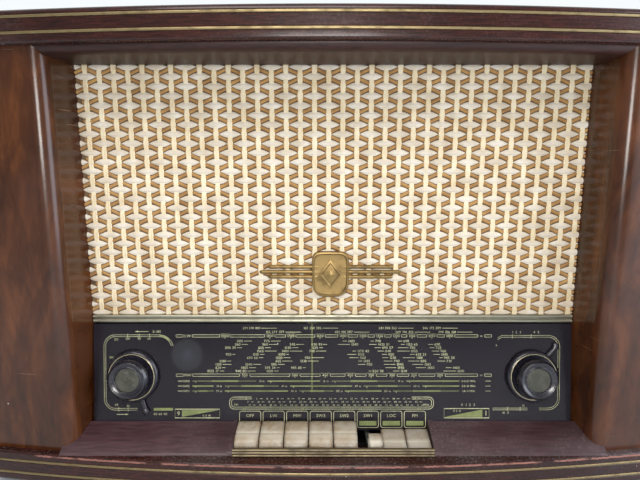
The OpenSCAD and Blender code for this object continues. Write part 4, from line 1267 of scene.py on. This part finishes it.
class Printer:
    """Lays flat ink on the dial, in millimetres along and up the glass."""

    def __init__(self, glyphs: Glyphs) -> None:
        """Starts a clean sheet."""
        self.glyphs = glyphs
        self.shape = Shape()

    def patch(self, corners: Sequence[Point]) -> None:
        """A filled patch, with anticlockwise corners."""
        self.shape.add([(x * MM, v * MM, 0.0) for x, v in corners], [tuple(range(len(corners)))])

    def bar(self, x0: float, v0: float, x1: float, v1: float) -> None:
        """A filled upright rectangle between two corners."""
        self.patch([(x0, v0), (x1, v0), (x1, v1), (x0, v1)])

    def rule(self, path: Sequence[Point], width: float, closed: bool = False) -> None:
        """A line of even width along a path.

        Args:
            path: Its points.
            width: Its width.
            closed: Whether the last point joins the first.
        """
        points = [Vector(point) for point in path]
        count = len(points)
        sides = []
        for index, point in enumerate(points):
            before = points[index - 1] if index or closed else point
            after = points[(index + 1) % count] if index < count - 1 or closed else point
            way = (after - before).normalized()
            normal = Vector((-way.y, way.x)) * width / 2
            into, out = (point - before), (after - point)
            if into.length > 0 and out.length > 0:
                cosine = max(math.cos(into.angle(out) / 2), 0.4)
                normal = normal / cosine
            sides.append((point + normal, point - normal))
        places = [(p.x * MM, p.y * MM, 0.0) for pair in sides for p in pair]
        last = count if closed else count - 1
        faces = [(2 * i + 1, 2 * ((i + 1) % count) + 1, 2 * ((i + 1) % count), 2 * i) for i in range(last)]
        self.shape.add(places, faces)

    def frame(self, x0: float, v0: float, x1: float, v1: float, radius: float, width: float) -> None:
        """The outline of a rounded box."""
        path: list[Point] = []
        for centre, start in (((x1 - radius, v1 - radius), 0), ((x0 + radius, v1 - radius), 90),
                              ((x0 + radius, v0 + radius), 180), ((x1 - radius, v0 + radius), 270)):
            path += arc(centre, radius, start, start + 90, 6)
        self.rule(path, width, closed=True)

    def words(self, text: str, x: float, v: float, height: float, anchor: float = 0.5, bold: float = 0.0) -> float:
        """Sets a line of figures.

        Args:
            text: What it says.
            x: Where it is anchored.
            v: Its base line.
            height: Height of a capital.
            anchor: 0 for left, 0.5 for the middle, 1 for right.
            bold: Extra stretch of each letter.

        Returns:
            Its width.
        """
        total = sum(self.glyphs.shape(letter)[2] if letter != " " else 0.5 for letter in text) * height
        pen = x - total * anchor
        for letter in text:
            if letter == " ":
                pen += 0.5 * height
                continue
            points, faces, width = self.glyphs.shape(letter)
            spread = height * (1 + bold)
            self.shape.add([((pen + px * spread) * MM, (v + py * height) * MM, 0.0) for px, py in points], faces)
            pen += width * height
        return total

    def build(self, name: str, place: DialPlace, lift: float, material: bpy.types.Material) -> bpy.types.Object:
        """Makes the ink a piece on the glass, lifted off it by lift metres."""
        matrix = place.matrix() @ Matrix.Translation((0, 0, lift))
        return self.shape.build(name, material, 30, matrix)


@dataclass
class Dial:
    """The printed glass, with scales, tick rows, bubbles and wedges, in millimetres on its own plane."""

    palette: Palette
    glyphs: Glyphs
    place: DialPlace
    scale: tuple[float, float] = (-134.2, 139.0)
    long_v: float = 34.7
    medium_v: float = -3.0
    short_vs: tuple[float, float, float] = (-8.7, -13.5, -18.3)
    fm_box: tuple[float, float, float, float] = (-98.7, -35.7, 96.8, -24.1)
    key_pitch: float = 22.57
    pointer_x: float = -19.7
    eye: Point = (-139.4, 16.3)
    eye_radius: float = 0.0155
    lift: float = 0.00006

    def __post_init__(self) -> None:
        """Starts with nothing printed."""
        self.fine = Printer(self.glyphs)
        self.green = Printer(self.glyphs)
        self.dice = random.Random(53)

    def banded_scale(self, v: float, height: float, label: str, marks: Sequence[tuple[float, str]]) -> None:
        """A hollow band with its label, small end boxes and numbers in bubbles."""
        low, high = self.scale
        half = height / 2
        cuts = [low]
        for x, _ in marks:
            cuts += [x - 4.9, x + 4.9]
        cuts.append(high)
        for start, end in zip(cuts[::2], cuts[1::2]):
            self.fine.frame(start, v - half, end, v + half, 0.5, 0.42)
        for x, text in marks:
            self.fine.words(text, x, v - 1.25, 2.5, bold=0.06)
            self.fine.bar(x - 4.6, v + 1.7, x + 4.6, v + 1.95)
            self.fine.bar(x - 0.2, v - half - 1.5, x + 0.2, v - half)
        self.fine.words(label, low - 4.4, v - 1.3, 2.7)
        self.fine.frame(low - 15.5, v - half, low - 8.8, v + half, 0.4, 0.38)
        self.fine.frame(high + 6.6, v - half, high + 13.2, v + half, 0.4, 0.38)
        self.fine.words("m", high + 3.4, v - 0.9, 2.0)

    def short_scales(self) -> None:
        """Three thick and thin lines with metre marks and their ranges."""
        low, high = self.scale
        ranges = ("6.0-21 MHz", "3.8-10 MHz", "1.8-11 MHz")
        places = {0: (0.26, 0.5, 0.78), 1: (0.10, 0.345, 0.62, 0.84), 2: (0.10, 0.38, 0.55, 0.73)}
        marks = {0: ("13", "16", "19"), 1: ("31", "41", "49", "60"), 2: ("75", "90", "120", "150")}
        for index, v in enumerate(self.short_vs):
            end = high - 17.5
            edges = [low]
            for share in places[index]:
                x = low + (end - low) * share
                edges += [x - 5.5, x + 5.5]
            edges.append(end)
            for k, (start, stop) in enumerate(zip(edges[::2], edges[1::2])):
                wide = 1.15 if (k + index) % 2 else 0.55
                self.green.bar(start, v - wide / 2, stop, v + wide / 2)
                self.green.bar(start + (stop - start) * 0.3, v - 0.75, start + (stop - start) * 0.72, v + 0.75)
                self.fine.bar(start + 3, v - 1.8, start + 3.35, v)
            for share, text in zip(places[index], marks[index]):
                self.fine.words(f"{text} m", low + (end - low) * share, v - 0.95, 1.9)
            self.fine.words(f"SW{3 - index}", low - 5.9, v - 1.05, 2.1)
            self.fine.bar(low - 14.0, v - 0.3, low - 9.6, v + 0.3)
            self.fine.words(ranges[index], end + 8.9, v - 0.95, 1.9)
            self.fine.bar(high + 7.5, v - 0.25, high + 12.6, v + 0.25)

    def number_field(self) -> None:
        """Two fans of small frequency numbers, each with the leader line that ends at it."""
        for start, side in ((-86, -1), (-59, -1), (-33, -1), (-8, -1), (14, 1), (41, 1), (68, 1), (94, 1)):
            for row in range(10):
                v = 28.6 - row * 3.2
                x = start + side * row * 2.7 + self.dice.uniform(-1.5, 1.5)
                if self.dice.random() < 0.16 or x < -121 or x > 128:
                    continue
                text = str(self.dice.randrange(52, 160) * 10 + self.dice.choice((0, 5)))
                if self.dice.random() < 0.35:
                    text += " " + str(self.dice.randrange(10, 99))
                width = self.fine.words(text, x, v, 2.45, 1.0 if side < 0 else 0.0, 0.1)
                length = self.dice.uniform(2, 19 - width)
                near, far = sorted((x - side * 1.0, x - side * (1.0 + length)))
                self.fine.bar(near, v + 0.95, far, v + 1.4)
        for v, starts in ((41.2, (-86, -28, 44, 86)), (37.4, (-64, 2, 60, 101))):
            for start in starts:
                text = " ".join(str(self.dice.randrange(150, 410)) for _ in range(3))
                width = self.fine.words(text, start, v, 2.3, 0.0, 0.1)
                self.fine.bar(start + width + 1.2, v + 0.75, start + width + 16, v + 1.2)

    def fm_scale(self) -> None:
        """The open box of the FM band, with rows of small numbers and the megahertz numbers."""
        x0, v0, x1, v1 = self.fm_box
        corner, hook = 4.6, 21.0
        for inset, width in ((0.0, 0.55), (1.9, 0.45)):
            c = corner - inset
            self.fine.rule([(x0 + hook, v1 - inset), *arc((x0 + corner, v1 - corner), c, 90, 180, 8),
                            *arc((x0 + corner, v0 + corner), c, 180, 270, 8),
                            *arc((x1 - corner, v0 + corner), c, 270, 360, 8),
                            *arc((x1 - corner, v1 - corner), c, 0, 90, 8), (x1 - hook, v1 - inset)], width)
        for row, level in enumerate((v1 - 1.6, v1 - 4.7, v1 - 7.8)):
            for index in range(17):
                x = x0 + 16 + row * 1.6 + index * (x1 - x0 - 34) / 16
                self.fine.words(str((index * 3 + row * 5 + 2) % 60), x, level - 0.8, 1.75, bold=0.05)
                self.fine.bar(x + 3.0, level - 0.2, x + 5.6, level + 0.2)
        for index in range(4):
            self.green.words(str(88 + index * 4), x0 + 14 + index * (x1 - x0 - 28) / 3, v0 - 0.9, 1.9)
        self.fine.words("FM", x0 + 6.4, v0 + 3.2, 2.1)
        self.fine.words("MHz", x1 - 7.0, v0 + 3.2, 2.1)

    def key_labels(self) -> None:
        """A rounded box with a short label over each key, and its green flag."""
        for index, text in enumerate(("OFF", "LW", "MW", "SW3", "SW2", "SW1", "LOC", "FM")):
            x = (index - 3.5) * self.key_pitch
            self.fine.frame(x - 10.2, -53.5, x + 10.2, -37.7, 2.0, 0.55)
            self.fine.words(text, x, -43.4, 2.9, bold=0.08)
            self.green.bar(x - 8.3, -51.6, x + 8.3, -47.2)

    def control_scale(self, side: int) -> None:
        """The rounded double line round one pair of knobs, with ticks, numbers and arrows."""
        gap = 0.85
        corner = 10.0
        if side < 0:
            x0, x1, v0, v1 = -217.9, -157.0, -35.9, 34.9
            for offset in (-gap, gap):
                c = corner + offset
                path = [*arc((x1 - 9, v1 - 13), 13 + offset, 14, 90, 10),
                        *arc((x0 + corner, v1 - corner), c, 90, 180, 8),
                        *arc((x0 + corner, v0 + corner), c, 180, 270, 8), (-187.0, v0 - offset)]
                self.fine.rule(path, 0.42)
            numbers = ((-207, v1 - 4.6, "150"), (-196, v1 - 3.9, "120"), (-185, v1 - 3.9, "90"),
                       (-175.5, v1 - 3.9, "60"), (x0 + 6.2, 13, "180"), (-207, v0 + 3.2, "45"),
                       (-196, v0 + 2.2, "30"))
            ticks = ((-196, v1), (-185, v1), (-175, v1), (-205, v0), (-196, v0))
            self.green.bar(-171.5, v0 - 1.3, -153.0, v0 + 1.3)
            self.fine.words("80 60 40", -165.0, v0 - 5.6, 2.3)
            self.fine.rule([(-207, v0 - 4.9), (-197, v0 - 4.9)], 0.45)
            self.fine.patch([(-195.2, v0 - 4.9), (-198.4, v0 - 4.1), (-198.4, v0 - 5.7)])
            self.fine.rule([(-187, v1 + 4.0), (-176, v1 + 4.0)], 0.45)
            self.fine.patch([(-189.2, v1 + 4.0), (-186.0, v1 + 3.2), (-186.0, v1 + 4.8)])
            self.fine.words("0-180", -168, v1 + 2.9, 2.4)
            self.green.rule([*arc((x1 - 9, v1 - 13), 13, 88, 40, 8)], 1.5)
        else:
            x0, x1, v0, v1 = 158.0, 216.6, -35.6, 34.3
            for offset in (-gap, gap):
                c = corner + offset
                path = [(x0, v1 + offset - 2.4), (x0 + 4, v1 + offset),
                        *reversed(arc((x1 - corner, v1 - corner), c, 0, 90, 8)),
                        *reversed(arc((x1 - corner, v0 + corner), c, 270, 360, 8)), (198.0, v0 - offset)]
                self.fine.rule(path, 0.42)
            self.fine.rule([(153.5, v0 + gap), (187.0, v0 + gap)], 0.42)
            self.fine.rule([(153.5, v0 - gap), (187.0, v0 - gap)], 0.42)
            numbers = ((176, v1 + 3.0, "1  2  3"), (195, v1 + 3.0, "4  5"), (157, v1 - 9.5, "6"),
                       (166, v0 - 4.7, "10  8"), (183, v0 + 2.2, "12"))
            ticks = ((172, v1), (190, v1), (168, v0), (180, v0))
        for x, v, text in numbers:
            self.fine.words(text, x, v, 2.2)
        for x, v in ticks:
            self.fine.bar(x - 0.25, v - 2.0, x + 0.25, v + 2.0)

    def wedge(self, x0: float, v0: float, x1: float, v1: float, rising: bool) -> None:
        """A boxed tone wedge with lines that fade along it."""
        self.fine.rule([(x0, v0), (x1, v0), (x1, v1), (x0, v1)], 0.55, closed=True)
        inner = 0.9
        a, b, c, d = x0 + 6.5, x1 - inner, v0 + inner, v1 - inner
        if rising:
            a, b = x0 + inner, x1 - 6.5
            self.green.patch([(a, c), (b, c), (b, d)])
        else:
            self.green.patch([(a, c), (b, d), (a, d)])
        clef_x = (x1 - 3.4) if rising else (x0 + 3.4)
        self.fine.words("1" if rising else "9", clef_x, v0 + 2.2, v1 - v0 - 4.2)
        self.fine.words("0 5 10", (x0 + x1) / 2 + (-9 if rising else 9), v1 - 3.2 if rising else v0 + 1.3, 2.0)

    def pointer(self) -> None:
        """The AM pointer's needle behind the glass, with a painted glow so that it shows through the dark glass, and
        its dark carriage on the rail.
        """
        for name, half, low, high, rear, front, finish in (
                ("pointer_needle", 0.38, -21.0, 45.4, -4.7, -4.0, Finish.POINTER),
                ("pointer_carriage", 5.0, 45.5, 50.5, -13.0, -4.0, Finish.CORE)):
            x0, x1 = self.pointer_x - half, self.pointer_x + half
            shape = Shape()
            shape.loft([[self.place.at(x * MM, v * MM, out * MM) for x, out in
                         ((x0, rear), (x1, rear), (x1, front), (x0, front))] for v in (low, high)])
            made = shape.build(name, self.palette[finish])
            dress(made, "am_pointer", "pointer_paint", *(["am_pointer"] if half < 1 else []))

    def build(self) -> None:
        """Prints the dial and dresses the glass."""
        self.banded_scale(self.long_v, 2.3, "LW", (
            (-103, "2000"), (-60, "1800"), (-40, "1700"), (-12, "1500"), (10, "1400"), (29, "1300"), (45, "1250"),
            (61, "1200"), (76, "1150"), (95, "1050"), (112, "1000")))
        self.banded_scale(self.medium_v, 2.3, "MW", (
            (-84, "550"), (-36, "500"), (-7, "450"), (17, "400"), (37, "350"), (57, "300"), (78, "250"), (103, "200")))
        self.short_scales()
        self.number_field()
        self.fm_scale()
        self.key_labels()
        for side in (-1, 1):
            self.control_scale(side)
        self.wedge(-151.0, -44.2, -108.2, -35.8, False)
        self.wedge(107.0, -44.2, 150.2, -35.2, True)
        self.fine.words("0  1  2  3", 130, -32.6, 2.3)
        ink = self.fine.build("dial_print", self.place, self.lift, self.palette[Finish.INK])
        flags = self.green.build("dial_green_print", self.place, self.lift * 0.6, self.palette[Finish.GREEN])
        dress(ink, "cabinet", "pointer_paint")
        dress(flags, "cabinet", "pointer_paint")
        self.pointer()
        eye = self.place.at(self.eye[0] * MM, self.eye[1] * MM)
        glass = frame_node("dial_glass")
        repaint(glass, self.palette[DialGlass(tuple(eye), self.eye_radius)])


# ---- Knobs and keys ----


@dataclass
class Knobs:
    """Both concentric pairs: rear ring with its pointer arm, and stepped front knob."""

    palette: Palette
    place: DialPlace
    spindle_x: float = 0.1906
    spindle_v: float = -0.0034
    front_radius: float = 0.0188
    ring_radius: float = 0.0250
    line_radius: float = 0.0216
    arm_reach: float = 0.039
    arm_angles: tuple[float, float] = (-70.0, 52.0)

    def axis(self, side: int) -> Matrix:
        """Turns a shape made about Z, rising from the glass, onto a spindle."""
        return self.place.matrix() @ Matrix.Translation((side * self.spindle_x, self.spindle_v, 0))

    def front(self, side: int, name: str) -> list[bpy.types.Object]:
        """The stepped front knob and its inset face."""
        r = self.front_radius * 1000
        steps = [(0, 9.4), (r - 2.4, 9.4), (r - 1.4, 9.9), (r - 0.6, 11), (r - 0.1, 12.3), (r, 13.4), (r, 14.2),
                 (r - 0.25, 14.8), (r - 0.9, 15.6), (r - 1.9, 17.0), (r - 2.3, 17.45), (r - 2.8, 17.6),
                 (r - 3.3, 17.4), (r - 3.8, 17.1), (12.9, 16.4), (12.5, 16.85), (12.0, 17.0), (11.6, 16.85),
                 (11.3, 16.4), (11.1, 15.8), (0, 15.8)]
        body = turned([(radius * MM, out * MM) for radius, out in steps]).build(
            f"{name}_body", self.palette[Finish.BAKELITE], 40, self.axis(side))
        edge, brim, dome = 11.0, 15.95, 0.45
        rings = [(0, 15.4), (edge, 15.4), (edge, brim)]
        for turn in (math.radians(angle) for angle in range(15, 91, 15)):
            rings.append((edge * math.cos(turn), brim + dome * math.sin(turn)))
        face = turned([(radius * MM, out * MM) for radius, out in rings]).build(
            f"{name}_face", self.palette[Finish.FACE], 40, self.axis(side))
        return [body, face]

    def ring(self, side: int, name: str) -> list[bpy.types.Object]:
        """The rear ring, its gold line and its forked pointer arm."""
        r = self.ring_radius * 1000
        mark = self.line_radius * 1000
        steps = [(0, 1.2), (r - 0.6, 1.2), (r, 1.8), (r, 3.2), (r - 0.4, 4.3), (r - 1.1, 5.2), (r - 1.9, 5.8),
                 (mark + 0.7, 6.0), (mark + 0.3, 5.75), (mark - 0.3, 5.75), (mark - 0.4, 6.0), (mark - 1.6, 5.6),
                 (14.5, 5.9), (12.5, 6.6), (11.2, 8.6), (0, 8.6)]
        body = turned([(radius * MM, out * MM) for radius, out in steps])
        angle = math.radians(self.arm_angles[side > 0])
        reach = self.arm_reach * 1000
        half_widths = [(r - 3, 2.4), (r + 1, 2.3), (r + 4, 2.0), (reach - 6, 1.9), (reach - 4.4, 2.7),
                       (reach - 3.0, 3.4), (reach - 1.6, 3.1), (reach - 0.5, 1.9), (reach, 0.5)]
        turn = Matrix.Rotation(angle, 4, "Z")
        rings = []
        for along, half in half_widths:
            section = [(-half, 1.3), (half, 1.3), (half, 2.5), (half * 0.6, 3.4), (0, 3.7), (-half * 0.6, 3.4),
                       (-half, 2.5)]
            rings.append([turn @ Vector((along * MM, across * MM, out * MM)) for across, out in section])
        body.loft(rings)
        ring = body.build(f"{name}_body", self.palette[Finish.BAKELITE], 40, self.axis(side))
        line = Shape()
        turns = [2 * math.pi * step / 96 for step in range(96)]
        section = [(mark - 0.3, 5.6), (mark + 0.3, 5.6), (mark + 0.3, 5.98), (mark, 6.1), (mark - 0.3, 5.98)]
        line.loft([[(radius * MM * math.cos(t), radius * MM * math.sin(t), out * MM) for radius, out in section]
                   for t in turns], caps=False, loop=True)
        gold = line.build(f"{name}_gold_line", self.palette[Finish.GOLD_LINE], 50, self.axis(side))
        weld(gold)
        return [ring, gold]

    def build(self) -> None:
        """Makes and dresses the four knobs."""
        for side, front, front_body, ring, ring_body in (
                (-1, "volume_knob", "volume", "aerial_ring", "aerial_control"),
                (1, "tuning_knob", "tuning", "tone_ring", "tone")):
            for index, piece in enumerate(self.front(side, front)):
                dress(piece, front_body, "bakelite_black", *([front] if index == 0 else []))
            for index, piece in enumerate(self.ring(side, ring)):
                dress(piece, ring_body, "bakelite_black", *([ring] if index == 0 else []))


@dataclass
class Keys:
    """The eight ivory piano keys on their levers, and the ribbed strip in front of them."""

    palette: Palette
    names: tuple[str, ...] = ("key_off", "key_lw", "key_mw", "key_sw3", "key_sw2", "key_sw1", "key_local", "key_fm")
    broken: str = "key_sw1"
    pressed: tuple[str, ...] = ("key_local", "key_fm")
    travel: float = math.radians(6.5)
    pitch: float = 0.02257
    width: float = 0.02187
    rod_y: float = -0.052
    rod_z: float = 0.038
    rear: float = -0.1082
    nose: float = -0.1375
    stub_width: float = 0.0124
    stub_rear: float = -0.126

    def __post_init__(self) -> None:
        """Sets up the rod that the keys turn on."""
        self.rod = Vector((0, self.rod_y, self.rod_z))

    def crown(self) -> list[Point]:
        """Top line of a key from back to nose, as (y, z)."""
        curve = [(self.rear, 0.0578), (self.rear - 0.0012, 0.0588)]
        curve += [(self.rear - 0.0012 - 0.017 * share, 0.0588 - 0.0026 * share ** 1.6) for share in
                  [0.15, 0.3, 0.45, 0.6, 0.75, 0.9]]
        curve += arc((-0.1266, 0.0457), 0.0106, 82, 176, 16)
        curve += [(self.nose, 0.0446)]
        return curve

    def matrix(self, name: str) -> Matrix:
        """Turns a key that was drawn raised to where it rests."""
        if name not in self.pressed:
            return Matrix.Identity(4)
        return Matrix.Translation(self.rod) @ Matrix.Rotation(self.travel, 4, "X") @ Matrix.Translation(-self.rod)

    def cap(self, name: str, x: float) -> bpy.types.Object:
        """One hollow key cap, crowned across its width.

        Args:
            name: The key.
            x: Middle of the key.

        Returns:
            The cap.
        """
        crown = self.crown()
        low, high = x - self.width / 2, x + self.width / 2
        if name == self.broken:
            low = high - self.stub_width
            crown = [point for point in crown if point[0] <= self.stub_rear]
        runs = [0.0]
        for first, second in zip(crown, crown[1:]):
            runs.append(runs[-1] + math.dist(first, second))
        shares = [run / runs[-1] for run in runs]
        thick = 0.0030
        under = []
        for index, (y, z) in enumerate(crown):
            before, after = crown[max(index - 1, 0)], crown[min(index + 1, len(crown) - 1)]
            way = Vector((after[0] - before[0], after[1] - before[1])).normalized()
            under.append((y - way.y * thick, z + way.x * thick))
        edge = 0.0013
        stations = [(low, 0.00125), (low + 0.0002, 0.0007), (low + 0.0006, 0.0003), (low + edge, 0.00008)]
        stations += [(low + edge + (high - low - 2 * edge) * k / 6, 0.0) for k in range(1, 6)]
        stations += [(high - edge, 0.00008), (high - 0.0006, 0.0003), (high - 0.0002, 0.0007), (high, 0.00125)]
        rings = []
        for place, drop in stations:
            top = []
            for index, (y, z) in enumerate(crown):
                uy, uz = under[index]
                share = drop / thick
                top.append((place, y + (uy - y) * share, z + (uz - z) * share))
            rings.append([*top, *[(place, y, z) for y, z in reversed(under)]])
        shape = Shape()
        size = len(rings[0])
        tops = len(crown)

        def uv(row: int, index: int) -> Point:
            """Across and along the key; the hollow side repeats the top's values."""
            index %= size
            share = shares[index] if index < tops else shares[max(size - 1 - index, 0)]
            across = (stations[row][0] - x) / self.width + 0.5
            return across, share

        shape.loft(rings, uv=uv)
        made = shape.build(f"{name}_cap", self.palette[Finish.IVORY], 50, self.matrix(name))
        weld(made)
        shade(made, 50)
        return made

    def lever(self, name: str, x: float) -> bpy.types.Object:
        """The steel lever that the cap sits on, with its hub on the rod."""
        half = 0.0020
        outline = [(-0.1340, 0.0445), (self.rod.y - 0.0035, 0.0340), (self.rod.y + 0.012, 0.036),
                   (self.rod.y + 0.012, 0.040), (self.rod.y + 0.003, 0.042), (-0.1102, 0.044)]
        if name == self.broken:
            outline += [(-0.1262, 0.0455), (-0.1266, 0.0515), (-0.1330, 0.0475)]
        else:
            outline += [(-0.1102, 0.0548), (-0.1270, 0.0522), (-0.1330, 0.0475)]
        shape = slab(outline, x - half, x + half, 0.0003)
        shape.uvs.clear()
        outer, inner = 0.0052, 0.00205
        turns = [2 * math.pi * k / 32 for k in range(32)]
        rings = []
        for radius, along in ((outer, -0.007), (outer, 0.007), (inner, 0.007), (inner, -0.007)):
            rings.append([(x + along, self.rod.y + radius * math.cos(t), self.rod.z + radius * math.sin(t))
                          for t in turns])
        shape.loft(rings, caps=False, loop=True)
        made = shape.build(f"{name}_lever", self.palette[Finish.STEEL], 40, self.matrix(name))
        weld(made)
        shade(made, 40)
        return made

    def threshold(self) -> bpy.types.Object:
        """The ribbed brass strip."""
        low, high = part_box("key_threshold")
        front, rear = low.y + 0.0011, high.y
        ribs = []
        pitch = (high.z - low.z) / 3
        for index in range(3):
            centre = low.z + pitch * (index + 0.5)
            ribs += arc((front, centre), pitch / 2 - 0.00012, 262, 98, 10)
        outline = [(rear, high.z), *reversed(ribs), (rear, low.z)]
        return slab(outline, low.x, high.x).build("ribbed_strip", self.palette[Finish.DULL_BRASS], 60)

    def build(self) -> None:
        """Makes and dresses all keys and the strip."""
        for index, name in enumerate(self.names):
            x = (index - 3.5) * self.pitch
            dress(self.cap(name, x), name, "key_ivory", name)
            dress(self.lever(name, x), name, "zinc_steel")
        dress(self.threshold(), "cabinet", "trim_brass", "key_threshold")


# ---- Frame pieces, stage and camera ----

FRAME_FINISHES = {
    Finish.SIDE: ("side_left", "side_right"),
    Finish.HARDBOARD: ("baffle_board", "rear_cover"),
    Finish.BACKING: ("dial_backplate", "key_frame"),
    Finish.STEEL: ("pointer_rails", "tuning_shaft", "flywheel", "aerial_sleeve", "volume_shaft", "tone_sleeve",
                   "volume_control", "key_rod", "chassis", "gang_frame", "gang_rotor"),
    Finish.BULB: ("dial_lamps", "magic_eye", "valves"),
    Finish.CORE: ("mains_transformer", "output_transformer"),
    Finish.ALUMINIUM: ("screening_cans",),
    Finish.PHENOLIC: ("valve_sockets", "socket_strip", "drive_drum", "fm_pointer"),
    Finish.CORD: ("drive_cord",),
    Finish.FERRITE: ("ferrite_rod",),
    Finish.SPEAKER: ("woofer_frame",),
    Finish.PAPER: ("woofer_cone",),
    Finish.BRASS: ("rear_screws",),
    Finish.RUBBER: ("feet", "mains_gland"),
}


def frame_node(name: str) -> bpy.types.Object:
    """The object of a CAD node."""
    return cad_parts[name]


def repaint(item: bpy.types.Object, material: bpy.types.Material) -> None:
    """Gives every slot of an object the same material."""
    if not item.material_slots:
        item.data.materials.append(material)
    for place in item.material_slots:
        place.material = material


@dataclass
class Studio:
    """Pale floor, soft lights and the camera."""

    lens: float = 27.06
    sensor: float = 36.0
    stand: tuple[float, float, float] = (-0.012, -0.535, 0.301)
    pitch: float = math.radians(9.0)

    def camera(self) -> None:
        """Sets the camera up."""
        data = bpy.data.cameras.new("camera")
        data.lens = self.lens
        data.sensor_width = self.sensor
        data.clip_start = 0.01
        item = bpy.data.objects.new("camera", data)
        item.location = self.stand
        item.rotation_euler = (math.pi / 2 - self.pitch, 0, 0)
        bpy.context.scene.collection.objects.link(item)
        bpy.context.scene.camera = item

    def light(self, name: str, place: Sequence[float], aim: Sequence[float], size: Point, power: float,
              colour: Colour) -> None:
        """Adds a soft rectangular light.

        Args:
            name: Its name.
            place: Where it stands.
            aim: What it points at.
            size: Its width and height.
            power: Its power in watts.
            colour: Its colour.
        """
        data = bpy.data.lights.new(name, "AREA")
        data.shape = "RECTANGLE"
        data.size, data.size_y = size
        data.energy = power
        data.color = colour
        item = bpy.data.objects.new(name, data)
        item.location = place
        item.rotation_euler = (Vector(aim) - Vector(place)).to_track_quat("-Z", "Y").to_euler()
        bpy.context.scene.collection.objects.link(item)

    def build(self) -> None:
        """Makes the floor, world and lights."""
        floor = Shape()
        floor.add([(-6, -6, 0), (6, -6, 0), (6, 6, 0), (-6, 6, 0)], [(0, 1, 2, 3)])
        ground = floor.build("floor", Moulded("floor_paint", (0.62, 0.66, 0.70), (0.66, 0.70, 0.74), 0.7, 0.0).make())
        world = bpy.data.worlds.new("room")
        bpy.context.scene.world = world
        world.use_nodes = True
        bench = Bench(world.node_tree)
        way = bench.node("ShaderNodeTexCoord").out("Generated")
        forward = bench.node("ShaderNodeSeparateXYZ", None, {"Vector": way}).out("Y")
        strength = forward.ramp(-0.25, 0.35) * 0.66 + 0.34
        sky = bench.node("ShaderNodeBackground", None, {"Color": (0.93, 0.98, 1.0), "Strength": strength}).out()
        bench.node("ShaderNodeOutputWorld", None, {"Surface": sky})
        self.light("window_right", (1.5, -0.45, 0.6), (-0.15, -0.05, 0.22), (1.3, 1.4), 30.0, (0.86, 0.90, 1.0))
        self.light("ceiling", (-0.2, -1.15, 1.55), (0, -0.05, 0.25), (1.1, 0.7), 16.0, (1.0, 0.96, 0.92))
        self.light("fill", (0.0, -1.3, 0.42), (0.02, -0.05, 0.26), (0.35, 0.25), 6.5, (1.0, 0.96, 0.92))
        bpy.context.scene.view_settings.view_transform = "Standard"


def main() -> None:
    """Builds the radio around its frame."""
    logging.basicConfig(level=logging.INFO, format="%(message)s")
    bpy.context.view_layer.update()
    Studio().camera()
    palette = Palette()
    repeater = Repeater()
    place = DialPlace(Vector(DIAL_ORIGIN), math.radians(DIAL_LEAN))
    Cabinet(palette).build()
    Grille(palette, repeater).build()
    Dial(palette, Glyphs(), place).build()
    Knobs(palette, place).build()
    Keys(palette).build()
    for finish, names in FRAME_FINISHES.items():
        for name in names:
            repaint(frame_node(name), palette[finish])
    Studio().build()


if __name__ == "__main__":
    main()
